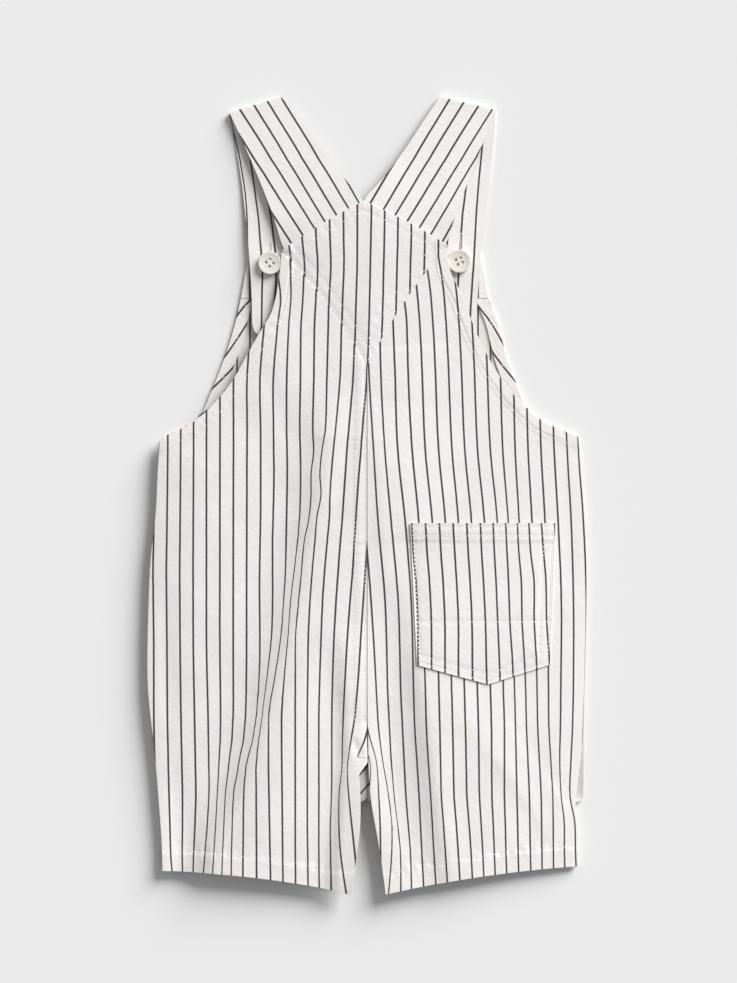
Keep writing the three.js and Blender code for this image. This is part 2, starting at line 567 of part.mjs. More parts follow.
// A closed band of the cloth's thickness about rows of points on its middle surface
function band(stations) {
  const columns = stations[0].length;
  const outerSide = [];
  const innerSide = [];
  stations.forEach((points, s) => {
    const before = stations[Math.max(0, s - 1)];
    const after = stations[Math.min(stations.length - 1, s + 1)];
    points.forEach((p, c) => {
      const along = after[c].clone().sub(before[c]);
      const across = points[Math.min(columns - 1, c + 1)].clone().sub(points[Math.max(0, c - 1)]);
      const normal = along.cross(across).normalize().multiplyScalar(CLOTH / 2);
      outerSide.push(p.clone().add(normal));
      innerSide.push(p.clone().sub(normal));
    });
  });
  const positions = [...outerSide, ...innerSide].flatMap((p) => [p.x, p.y, p.z]);
  const rows = stations.length;
  const under = rows * columns;
  const id = (r, c) => r * columns + c;
  const faces = [];
  const quad = (a, b, c, d) => faces.push(a, b, c, a, c, d);
  for (let r = 0; r < rows - 1; r += 1) {
    for (let c = 0; c < columns - 1; c += 1) {
      quad(id(r, c), id(r + 1, c), id(r + 1, c + 1), id(r, c + 1));
      quad(under + id(r, c), under + id(r, c + 1), under + id(r + 1, c + 1), under + id(r + 1, c));
    }
  }
  for (let r = 0; r < rows - 1; r += 1) {
    quad(id(r, 0), under + id(r, 0), under + id(r + 1, 0), id(r + 1, 0));
    const c = columns - 1;
    quad(id(r, c), id(r + 1, c), under + id(r + 1, c), under + id(r, c));
  }
  for (let c = 0; c < columns - 1; c += 1) {
    quad(id(0, c), id(0, c + 1), under + id(0, c + 1), under + id(0, c));
    const r = rows - 1;
    quad(id(r, c), under + id(r, c), under + id(r, c + 1), id(r, c + 1));
  }
  const geometry = new THREE.BufferGeometry();
  geometry.setAttribute('position', new THREE.Float32BufferAttribute(positions, 3));
  geometry.setIndex(outward(faces, positions));
  return geometry;
}

function toManifold(geometry) {
  const bare = geometry.clone();
  bare.deleteAttribute('normal');
  bare.deleteAttribute('uv');
  const merged = mergeVertices(bare);
  const mesh = new wasm.Mesh({
    numProp: 3,
    vertProperties: new Float32Array(merged.attributes.position.array),
    triVerts: new Uint32Array(merged.index.array),
  });
  return new wasm.Manifold(mesh);
}

// A four-hole button with a raised rim, lathed about its middle and drilled
function buttonGeometry() {
  const radius = BUTTON_DIAMETER / 2;
  const profile = [
    new THREE.Vector2(0, 0),
    new THREE.Vector2(radius - BUTTON_FOOT, 0),
    new THREE.Vector2(radius, BUTTON_FOOT),
    new THREE.Vector2(radius, BUTTON_HEIGHT - BUTTON_SHOULDER),
    new THREE.Vector2(radius - BUTTON_SHOULDER, BUTTON_HEIGHT),
    new THREE.Vector2(radius - BUTTON_RIM, BUTTON_HEIGHT),
    new THREE.Vector2(radius - BUTTON_RIM - BUTTON_SLOPE, BUTTON_HEIGHT - BUTTON_DISH),
    new THREE.Vector2(0, BUTTON_HEIGHT - BUTTON_DISH),
  ];
  const roundSteps = 32;
  const holeSteps = 10;
  const turned = new THREE.LatheGeometry(profile, roundSteps);
  turned.rotateX(Math.PI / 2);
  let solid = toManifold(turned);
  for (let k = 0; k < 4; k += 1) {
    const angle = HOLE_TURN + (k * Math.PI) / 2;
    const drill = new THREE.CylinderGeometry(
      HOLE_DIAMETER / 2,
      HOLE_DIAMETER / 2,
      3 * BUTTON_HEIGHT,
      holeSteps,
    );
    drill.rotateX(Math.PI / 2);
    drill.translate((HOLE_CIRCLE / 2) * Math.cos(angle), (HOLE_CIRCLE / 2) * Math.sin(angle), 0);
    solid = solid.subtract(toManifold(drill));
  }
  const mesh = solid.getMesh();
  const geometry = new THREE.BufferGeometry();
  geometry.setAttribute('position', new THREE.Float32BufferAttribute(mesh.vertProperties, 3));
  geometry.setIndex(Array.from(mesh.triVerts));
  return geometry;
}

const garment = new THREE.Group();

function addPiece(name, geometry, material = clothMaterial()) {
  const mesh = new THREE.Mesh(geometry, material);
  mesh.name = name;
  garment.add(mesh);
  return mesh;
}

const BACK_ROW_STEPS = 44;
const BACK_COLUMN_STEPS = 12;
const FRONT_COLUMN_STEPS = 8;
const frontRowSteps = (rows) => 2 * (rows.length - 1);
addPiece('back_left', panelGeometry(backLeft, BACK_ROW_STEPS, BACK_COLUMN_STEPS, backLevel));
addPiece('back_right', panelGeometry(backRight, BACK_ROW_STEPS, BACK_COLUMN_STEPS, backLevel));
const frontGeometry = (panel, rows) =>
  panelGeometry(panel, frontRowSteps(rows), FRONT_COLUMN_STEPS, frontLevel);
addPiece('front_left', frontGeometry(frontLeft, frontLeftRows));
addPiece('front_right', frontGeometry(frontRight, frontRightRows));
addPiece('bib_hem', bibHemGeometry());
addPiece('armhole_hem_left', armholeHemGeometry(frontLeft, frontLeftRows));
addPiece('armhole_hem_right', armholeHemGeometry(frontRight, frontRightRows));
addPiece('back_yoke', yokeGeometry());
addPiece('back_pocket', pocketGeometry());
addPiece('strap_left', strapGeometry(strapLeftRows, strapLeftTailRows));
addPiece('strap_right', strapGeometry(strapRightRows, strapRightTailRows));

const BUTTON_SEAT = BIB_LEVEL + CLOTH + SEAM;
buttonPlaces.forEach((place) => {
  const button = addPiece(place.name, buttonGeometry(), buttonMaterial());
  button.position.set(place.x, place.y, BUTTON_SEAT);
});

export default garment;
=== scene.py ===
import math

import bpy
import numpy as np
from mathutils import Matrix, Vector, noise


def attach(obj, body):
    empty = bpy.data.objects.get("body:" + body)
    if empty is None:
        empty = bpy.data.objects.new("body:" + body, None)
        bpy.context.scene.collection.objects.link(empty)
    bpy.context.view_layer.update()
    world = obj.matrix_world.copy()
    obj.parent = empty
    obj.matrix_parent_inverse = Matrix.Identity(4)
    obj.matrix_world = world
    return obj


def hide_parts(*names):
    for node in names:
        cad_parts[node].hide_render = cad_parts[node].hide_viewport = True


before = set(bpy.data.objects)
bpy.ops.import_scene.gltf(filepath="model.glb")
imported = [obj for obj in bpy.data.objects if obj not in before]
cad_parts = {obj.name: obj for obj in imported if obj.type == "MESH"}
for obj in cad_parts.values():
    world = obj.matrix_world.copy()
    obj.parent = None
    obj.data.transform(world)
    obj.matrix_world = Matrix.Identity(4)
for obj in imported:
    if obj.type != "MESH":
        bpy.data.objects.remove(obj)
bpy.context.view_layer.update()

mm = 0.001
print("frame loaded:", len(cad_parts), "pieces")

# What the whole garment shares. Lengths are in millimetres unless a note says otherwise.
cloth = {
    "wall": 0.8,            # drawn thickness of one layer
    "layer": 1.2,           # thickness that each layer has in the solids
    "layerGap": 0.1,        # between two drawn layers
    "seamGap": 0.3,
    "gridStep": 1.5,        # distance between mesh points on a panel
    "edgeRound": 0.04,      # how far a folded edge bulges
    "edgeDrop": 0.02,       # how far it bends down, over its last stretch
    "edgeDropRun": 0.6,
    "edgeTuck": 1.5,        # a closed side runs in below its edge by this share of its height
    "stripePitch": 8.6,
    "stripeWidth": 1.25,
    "stitchLength": 2.2,
    "stitchGap": 0.5,
    "threadWidth": 0.55,
}

# The photo's scale and middle, for places that are read in its pixels
photo = {"pixel": 0.65, "middleX": 367.15, "middleY": 494.55}


def fromPixels(px, py):
    return (px - photo["middleX"]) * photo["pixel"], (photo["middleY"] - py) * photo["pixel"]


def toPixels(x, y):
    return x / photo["pixel"] + photo["middleX"], photo["middleY"] - y / photo["pixel"]


# Lines and tables

def crLine(points, shares):
    # centripetal Catmull-Rom through points; shares run from 0 to 1 with equal room for each span
    p = np.array(points, float)
    ends = np.vstack([2 * p[0] - p[1], p, 2 * p[-1] - p[-2]])
    place = np.clip(np.asarray(shares, float), 0, 1) * (len(p) - 1)
    k = np.minimum(place.astype(int), len(p) - 2)
    w = (place - k)[:, None]
    a, b, c, d = ends[k], ends[k + 1], ends[k + 2], ends[k + 3]
    root = lambda m, n: np.maximum(np.linalg.norm(n - m, axis=1, keepdims=True), 1e-6) ** 0.5
    s0, s1, s2 = root(a, b), root(b, c), root(c, d)
    leave = ((b - a) / s0 - (c - a) / (s0 + s1) + (c - b) / s1) * s1
    enter = ((c - b) / s1 - (d - b) / (s1 + s2) + (d - c) / s2) * s1
    return b + leave * w + (3 * (c - b) - 2 * leave - enter) * w**2 + (2 * (b - c) + leave + enter) * w**3


def edgeAt(rows, edge, t):
    # one edge of a panel's sections, broken at the rows that are its corners
    t = np.asarray(t, float)
    last = len(rows) - 1
    breaks = [0] + [k for k in range(1, last) if rows[k].get("corner") in (edge, "both")] + [last]
    result = np.zeros((len(t), 2))
    for start, end in zip(breaks, breaks[1:]):
        inside = (t * last >= start - 1e-9) & (t * last <= end + 1e-9)
        points = [(row[edge + "X"], row[edge + "Y"]) for row in rows[start:end + 1]]
        if inside.any():
            result[inside] = crLine(points, (t[inside] * last - start) / (end - start))
    return result


def readTable(rows, y, key):
    order = sorted(rows, key=lambda row: row["y"])
    return np.interp(y, [row["y"] for row in order], [row[key] for row in order])


def nearestOn(line, x, y):
    # distance to a line of points, how far along it the nearest place is, and which side
    best = np.full(x.shape, 1e9)
    along = np.zeros(x.shape)
    side = np.zeros(x.shape)
    run = 0.0
    for (ax, ay), (bx, by) in zip(line, line[1:]):
        dx, dy = bx - ax, by - ay
        length = math.hypot(dx, dy)
        if length < 1e-6:
            continue
        t = np.clip(((x - ax) * dx + (y - ay) * dy) / length**2, 0, 1)
        off = np.hypot(x - ax - dx * t, y - ay - dy * t)
        closer = off < best
        best = np.where(closer, off, best)
        along = np.where(closer, run + t * length, along)
        side = np.where(closer, np.sign(dx * (y - ay) - dy * (x - ax)), side)
        run += length
    return best, along, side


def runAlong(line):
    # how far along a line each of its points lies
    return np.concatenate([[0], np.cumsum(np.linalg.norm(np.diff(line, axis=0), axis=1))])


def unit(vectors):
    return vectors / np.maximum(np.linalg.norm(vectors, axis=-1, keepdims=True), 1e-9)


def bell(off, width):
    return np.exp(-((off / width) ** 2))


def between(a, b, u):
    # the grids of x and y from each point of one line to the same point of the other
    return (a[:, k:k + 1] + (b[:, k:k + 1] - a[:, k:k + 1]) * u for k in (0, 1))


def tableRows(keys, *rows):
    return [dict(zip(keys, row)) for row in rows]


# Sections of the panels, close to those of the solids, but the back's first ones reach further up
# under the yoke. Inner is the yoke and centre seam and then the inseam, outer is the armhole and
# then the side. Bow lifts a section's middle.
sectionKeys = ("innerX", "innerY", "outerX", "outerY", "bow", "corner")
backLeftRows = tableRows(
    sectionKeys,
    (-39.5, 147, -55.4, 157.4, 0),
    (-32.5, 138.5, -56.7, 143.5, 0),
    (-25, 127, -59.2, 128, 0),
    (-17, 115, -62.5, 117, 0),
    (-9.5, 103, -69, 106, 0),
    (-0.2, 91, -77, 92, 0, "inner"),
    (-0.2, 75, -86.5, 75, 0),
    (-0.2, 61, -97, 61.5, 0),
    (-0.2, 48, -112, 47.5, 0),
    (-0.2, 36, -134.2, 36.5, 0, "outer"),
    (-0.2, 16, -135.6, 17, 0),
    (-0.2, -12, -137, -12, 0),
    (-0.2, -42, -140.3, -42, 0),
    (-0.2, -70, -141.6, -69, 0),
    (-0.2, -98, -142.3, -96, 0),
    (-0.2, -124, -142.2, -122, 0),
    (-0.2, -147, -140.5, -143, 0, "inner"),
    (-0.1, -160.5, -138.4, -160, 0),
    (0.2, -173.6, -137, -175, 0, "inner"),
    (-5.2, -181, -136.4, -182, 0, "inner"),
    (-4.4, -195, -135.4, -195, 0),
    (-4.6, -215, -134, -213, 1),
    (-7.4, -238, -133, -230, 2),
    (-10.1, -259, -132.6, -244, 3.2),
)

backRightRows = tableRows(
    sectionKeys,
    (39, 149, 52.1, 160.6, 0),
    (33, 139.5, 54.2, 144, 0),
    (25.5, 127.5, 61.8, 129, 0),
    (17.5, 115, 66.8, 115, 0),
    (9.5, 102.5, 72.5, 101, 0),
    (0.2, 91, 79, 88, 0, "inner"),
    (0.2, 75, 87, 75, 0),
    (0.2, 61, 97.5, 62, 0),
    (0.2, 48, 113, 48, 0),
    (0.2, 36, 137, 37.5, 0, "outer"),
    (0.2, 16, 138.6, 15, 0),
    (0.2, -12, 140.8, -14, 0),
    (0.2, -42, 142.1, -42, 0),
    (0.2, -70, 142.3, -69, 0),
    (0.2, -98, 141.7, -96, 0),
    (0.2, -124, 141, -122, 0),
    (0.3, -147, 140.3, -145, 0, "inner"),
    (0.7, -160.5, 139.6, -161.5, 0),
    (1, -176, 137.8, -178, 0),
    (2.4, -197, 135, -199, 0, "outer"),
    (5.2, -214, 136, -213, 1),
    (8.4, -232, 136.9, -227, 2),
    (12, -259, 137.1, -241.3, 2.6),
)

frontLeftRows = tableRows(
    sectionKeys,
    (-0.2, 157.5, -77, 157.5, 0),
    (-0.2, 139, -79.8, 139, 0),
    (-0.2, 127.5, -82.4, 127.5, 0),
    (-0.2, 113, -85.6, 113, 0),
    (-0.2, 90, -92.6, 90, 0),
    (-0.2, 68, -101.3, 68, 0),
    (-0.2, 50.5, -110, 50.5, 0),
    (-0.2, 36, -134.2, 36.5, 0, "outer"),
    (-0.2, 0, -136.3, 0, 0),
    (-0.2, -42, -140.3, -42, 0),
    (-0.2, -98, -142.3, -96, 0),
    (-0.2, -147, -140.5, -143, 0),
    (-0.2, -178, -137, -175, 0),
    (-0.2, -198, -135.4, -195, 0, "inner"),
    (-5.6, -199.4, -135.3, -197.5, 0.1, "inner"),
    (-5.9, -215, -134, -213, 1),
    (-8.4, -236, -133, -230, 2),
    (-11.1, -257.8, -132.6, -242.8, 3.2),
)

frontRightRows = tableRows(
    sectionKeys,
    (0.2, 157.5, 73.2, 157.5, 0),
    (0.2, 139, 76.6, 139, 0),
    (0.2, 127.5, 79, 127.5, 0),
    (0.2, 113, 84.8, 113, 0),
    (0.2, 90, 90.5, 90, 0),
    (0.2, 70, 98, 70, 0),
    (0.2, 54, 106, 54, 0),
    (0.2, 36, 137, 37.5, 0, "outer"),
    (0.2, 0, 139.8, 0, 0),
    (0.2, -42, 142.1, -42, 0),
    (0.2, -98, 141.7, -96, 0),
    (0.2, -147, 140.6, -145, 0),
    (0.2, -178, 140.5, -176, 0),
    (0.2, -198, 140.3, -198, 0, "both"),
    (3.4, -200.5, 135.2, -200.5, 0, "outer"),
    (6.2, -214, 136, -213, 1),
    (9.4, -231, 136.9, -227, 2),
    (13, -257.8, 137.1, -240.1, 2.6),
)

sectionOf = {"underarmFront": 7, "underarmBack": 9, "vPoint": 5, "fork": 16, "bibHem": 2}

# Heights of the back's underside in the solids: at its edges, and how much higher it crowns
levelKeys = ("y", "edge", "crown")
backLevels = tableRows(
    levelKeys,
    (192, 5.0, 2.0), (105, 4.9, 2.2), (85, 3.6, 2.6), (40, 3.2, 2.6),
    (0, 3.0, 2.7), (-150, 3.0, 2.8), (-215, 3.0, 2.6), (-262, 3.0, 2.2),
)

shape = {
    "sideLift": 1.2,
    "sideCurl": 7,
    "curlTop": 32,
    "crownRun": 16,
    "inseamStart": 8,
    "wave": 0.24,           # broad unevenness of the laid cloth
    "waveLength": 46,
    "ripple": 0.05,         # finer unevenness
    "rippleLength": 13,
}

# The drawn cloth lies a little fuller and smoother over the same form, and its free edges stand up
drape = {
    "levels": tableRows(
        levelKeys,
        (192, 5.0, 2.0), (150, 4.7, 2.2), (90, 4.0, 2.5), (30, 3.4, 2.6), (-30, 3.1, 2.7), (-262, 3.0, 2.6),
    ),
    "foldShare": 0.35,      # share of the solids' folds; the photo's own creases come on top
    "sideStart": {"left": 12, "right": 40, "inseam": 12},
    "sideRun": 18,
    "sideAt": 142,
    "dome": 2.4,
    "domeMiddle": -25,
    "domeHalf": 168,
    "domeTop": 170,
    "domeRun": 150,
    "leftRise": 0.5,        # the left side stands higher, and throws the wider shadow
    "leftRun": 40,
    "leftTop": 36,
    "leftFade": 50,
    "rightDrop": 2.6,
    "rightRun": 70,
    # the left leg's inner edge turns up, the right leg's swells broadly
    "inseamRise": {
        "left": {"top": 0.3, "hem": 4.4, "run": 11},
        "right": {"top": 0.3, "hem": 2.6, "run": 30},
    },
    "leftHemRise": 0.3,
    "hemRun": 24,
    "legTop": -150,
    "legRun": 110,
    "legDrop": 1.2,         # the legs sink towards their hems
    "edgeRun": 10,          # creases fade over this last stretch before a side
    "armholeTurn": 0.3,     # how much the turned-in cloth adds
    "hemTurn": 0.35,
}

# Creases of the back through three points: rise is the height, negative for a trough, and spread the
# half width. The first table holds the solids' own folds.
creaseKeys = ("x1", "y1", "x2", "y2", "x3", "y3", "rise", "spread")
folds = tableRows(
    creaseKeys,
    (-29, 36, -41, -28, -53, -94, -1.1, 9),
    (-53, -94, -66, -144, -102, -236, -1.9, 10),
    (-44, 20, -58, -50, -78, -128, 1.0, 13),
    (-38, -100, -48, -160, -74, -236, 1.3, 13),
    (-16, -128, -14, -170, -22, -236, -1.5, 8),
    (10, -132, 16, -176, 24, -232, -1.3, 9),
    (34, -140, 40, -180, 46, -240, 1.0, 14),
    (100, -150, 112, -176, 132, -196, -1.5, 9),
    (82, -150, 88, -190, 92, -236, 0.9, 14),
    (-104, 20, -112, -40, -116, -120, 0.8, 15),
    (-92, 60, -70, 30, -52, -16, -0.8, 12),
    (92, 60, 70, 34, 58, 0, -0.8, 12),
)

creases = tableRows(
    creaseKeys,
    (-8, 60, -14, 20, -22, -20, -0.3, 5.5),
    (-66, 84, -58, 56, -46, 28, -0.3, 7.0),
    (60, -150, 58, -190, 66, -232, -0.25, 7.0),
    (-120, -180, -118, -206, -112, -238, -0.3, 7.0),
    (-128, -60, -130, -100, -126, -150, -0.3, 6.0),
    (126, 20, 130, -20, 131, -60, -0.25, 6.0),
    (-9, -158, -6, -166, -3, -171, -0.6, 2.2),
    (-84, -20, -90, -60, -88, -110, 0.3, 9.0),
    (24, 96, 28, 40, 32, -30, 0.9, 36.0),
)

# Long ridges: each falls steeply to a shallow trough on its left and runs out broadly on its right
def ridgeRows(leftRun, rightRun, trough, *rows):
    line = tableRows(("x", "y", "rise"), *rows)
    return {"leftRun": leftRun, "rightRun": rightRun, "trough": trough, "line": line}


troughRun = 46
ridges = {
    "left leg": ridgeRows(
        15, 58, 0.8,
        (-20, 64, 0), (-22.4, 38, 1.5), (-28, -3.5, 2.4), (-33.7, -32.8, 2.4), (-40.2, -62, 2.2),
        (-45.4, -94.5, 2.4), (-54.4, -120.5, 2.7), (-60, -144, 3.1), (-67, -166, 3.3),
        (-73.5, -182.3, 3.3), (-79.4, -198.5, 3.2), (-93.8, -231, 2.9), (-100, -262, 2.6),
    ),
    "left of the fork": ridgeRows(
        7.5, 22, 0.5,
        (-14, -84, 0), (-12.7, -106, 1.1), (-11.4, -133.5, 1.7), (-10.1, -169.3, 1.9),
        (-13.5, -198.5, 1.9), (-16.8, -244, 1.5), (-17.5, -262, 1.4),
    ),
    "right leg": ridgeRows(
        12, 44, 0.2,
        (24, -40, 0), (30, -78, 1.2), (36, -112, 2.0), (41, -139.4, 2.4), (46.5, -185.5, 2.4),
        (54, -233, 2.1), (58, -262, 1.8),
    ),
    "right side, upper": ridgeRows(
        6, 20, 0.3,
        (84, -140, 0), (102, -166, 0.4), (124, -196, 0.4), (136, -212, 0),
    ),
    "right side, lower": ridgeRows(
        6, 20, 0.3,
        (66, -146, 0), (88, -176, 0.4), (112, -208, 0.4), (124, -236, 0),
    ),
    "right chest": ridgeRows(6, 26, 0.3, (6, 60, 0), (9, 20, 0.3), (12, -30, 0.35), (16, -80, 0)),
}


def creaseHeight(rows, x, y, fade=True):
    total = np.zeros(x.shape)
    t = np.linspace(0, 1, 14)[:, None]
    for row in rows:
        # the quadratic curve through the three points
        a, b, c = (np.array((row["x" + k], row["y" + k])) for k in "123")
        line = (1 - t) ** 2 * a + 2 * t * (1 - t) * (2 * b - (a + c) / 2) + t**2 * c
        off, along, _ = nearestOn(line, x, y)
        length = runAlong(line)[-1]
        ends = np.clip(np.minimum(along, length - along) / (0.25 * length), 0, 1) if fade else 1
        total = total + row["rise"] * np.sqrt(ends) * bell(off, row["spread"])
    return total


def ridgeHeight(ridge, x, y):
    line = [(row["x"], row["y"]) for row in ridge["line"]]
    off, along, side = nearestOn(line, x, y)
    rise = np.interp(along, runAlong(line), [row["rise"] for row in ridge["line"]])
    trough = ridge["trough"]
    onLeft = (1 + trough) * bell(off, ridge["leftRun"]) - trough * bell(off, troughRun)
    return rise * np.where(side > 0, bell(off, ridge["rightRun"]), onLeft)


def panelAt(rows, t, u):
    # places on a panel for rows t and columns u, as two grids
    bow = np.interp(t * (len(rows) - 1), range(len(rows)), [row["bow"] for row in rows])
    x, y = between(edgeAt(rows, "inner", t), edgeAt(rows, "outer", t), u)
    return x, y + 4 * bow[:, None] * u * (1 - u)


backRows = {"left": backLeftRows, "right": backRightRows}
frontRows = {"left": frontLeftRows, "right": frontRightRows}
sides = ("left", "right")


def edgePart(rows, edge, fromRow=0, toRow=None, steps=90):
    last = len(rows) - 1
    return edgeAt(rows, edge, np.linspace(fromRow / last, 1 if toRow is None else toRow / last, steps))


def hemLine(rows, lift, steps=60):
    x, y = panelAt(rows, np.array([1.0]), np.linspace(0, 1, steps))
    return np.stack([x[0], y[0] + lift], axis=1)


outerLines = {s: edgePart(backRows[s], "outer", steps=140) for s in sides}
armholeLines = {s: edgePart(backRows[s], "outer", toRow=sectionOf["underarmBack"]) for s in sides}
inseamLines = {s: edgePart(backRows[s], "inner", sectionOf["fork"]) for s in sides}
centreLine = edgePart(backLeftRows, "inner", sectionOf["vPoint"], sectionOf["fork"])
frontSideLines = {s: edgePart(frontRows[s], "outer", sectionOf["underarmFront"]) for s in sides}
hemLines = {s: hemLine(backRows[s], 0) for s in sides}
stitching = {
    "armholeIn": 6.7, "centreNear": 1.3, "centreFar": 7.8, "legHem": 13.2,
    "dipWidth": 0.9, "dipReach": 3.2, "dipPitch": 6.5,
}


def waves(x, y, seed):
    # broad and fine unevenness from smooth noise
    flat = np.stack([x.ravel(), y.ravel()], axis=1)
    result = np.zeros(len(flat))
    for size, length in ((shape["wave"], shape["waveLength"]), (shape["ripple"], shape["rippleLength"])):
        result += [size * noise.noise(Vector((px / length, py / (1.7 * length), seed))) for px, py in flat]
    return result.reshape(x.shape)


def toNearer(x, y, lines):
    # distance to the nearer of the left and the right line
    return np.minimum(*(nearestOn(lines[s], x, y)[0] for s in sides))


def bySide(x, y, lines):
    # distance to the line on a place's own side of the middle
    off = [nearestOn(lines[s], x, y)[0] for s in sides]
    return np.where(x < 0, off[0], off[1])


def frontLevel(x, y):
    off = toNearer(x, y, frontSideLines) / shape["sideCurl"]
    below = np.clip((shape["curlTop"] - y) / shape["curlTop"], 0, 1)
    return np.where(off > 1, 0, shape["sideLift"] * below * (1 - off) ** 2)


def backLevel(x, y):
    # the underside of the back in the solids
    sideShare = 1 - np.exp(-toNearer(x, y, outerLines) / shape["crownRun"])
    inseamShare = 1 - np.exp(-(bySide(x, y, inseamLines) + shape["inseamStart"]) / shape["crownRun"])
    crown = readTable(backLevels, y, "crown") + creaseHeight(folds, x, y, fade=False)
    return readTable(backLevels, y, "edge") + sideShare * inseamShare * crown


def backTop(x, y):
    # the upper face of the back: its level, its fullness, creases and turned edges
    fromSide = toNearer(x, y, outerLines)
    fromInseam = bySide(x, y, inseamLines)
    fromHem = bySide(x, y, hemLines)
    start = drape["sideStart"]
    sideShare = 1 - np.exp(-(fromSide + np.where(x < 0, start["left"], start["right"])) / drape["sideRun"])
    inseamShare = 1 - np.exp(-(fromInseam + start["inseam"]) / drape["sideRun"])
    level = readTable(drape["levels"], y, "edge")
    level = level + sideShare * inseamShare * readTable(drape["levels"], y, "crown")
    below = np.clip((drape["domeTop"] - y) / drape["domeRun"], 0, 1)
    level = level + drape["dome"] * below * (1 - ((x - drape["domeMiddle"]) / drape["domeHalf"]) ** 2)
    level = level - drape["rightDrop"] * np.exp(-np.maximum(drape["sideAt"] - x, 0) / drape["rightRun"])
    leftShare = np.clip((drape["leftTop"] - y) / drape["leftFade"], 0, 1)
    level = level + drape["leftRise"] * leftShare * np.exp(-(x + drape["sideAt"]) / drape["leftRun"])
    legShare = np.clip((drape["legTop"] - y) / drape["legRun"], 0, 1)
    level = level - drape["legDrop"] * legShare
    left, right = (drape["inseamRise"][s] for s in sides)
    turnedUp = (left["top"] * (1 - legShare) + left["hem"] * legShare) * np.exp(-fromInseam / left["run"])
    swollen = (right["top"] * (1 - legShare) + right["hem"] * legShare) * bell(fromInseam, right["run"])
    level = level + np.where(x < 0, turnedUp, swollen)
    share = np.clip(fromSide / drape["edgeRun"], 0, 1)
    hemRise = np.where(x < 0, drape["leftHemRise"], 0)
    level = level + hemRise * np.exp(-fromHem / drape["hemRun"]) * (0.35 + 0.65 * share)
    fine = creaseHeight(creases, x, y) + waves(x, y, 3.1) + drape["foldShare"] * creaseHeight(folds, x, y)
    fine = fine + sum(ridgeHeight(ridge, x, y) for ridge in ridges.values())
    turned = drape["armholeTurn"] * band(bySide(x, y, armholeLines), stitching["armholeIn"] + 1.4, 1.2)
    turned = turned + drape["hemTurn"] * band(fromHem, stitching["legHem"] + 1.2, 1.2)
    return level + cloth["layer"] + share * fine + turned


def stitchDip(line, x, y, seed, depth=0.28, pucker=0.1):
    # a row of stitching pulls the cloth in and puckers it unevenly
    off, along, _ = nearestOn(line, x, y)
    slow = 1.4 * np.sin(along / 17.0 + seed) + 1.1 * np.sin(along / 7.3 + 2 * seed)
    strength = 0.55 + 0.45 * np.sin(along / 11.0 + 3 * seed)
    wave = strength * np.sin(2 * math.pi * along / stitching["dipPitch"] + slow)
    return -depth * bell(off, stitching["dipWidth"]) + pucker * wave * bell(off, stitching["dipReach"])


def band(off, width, soft):
    # 1 inside a hem's width, falling to 0 just past it
    return np.clip((width - off) / soft + 0.5, 0, 1)


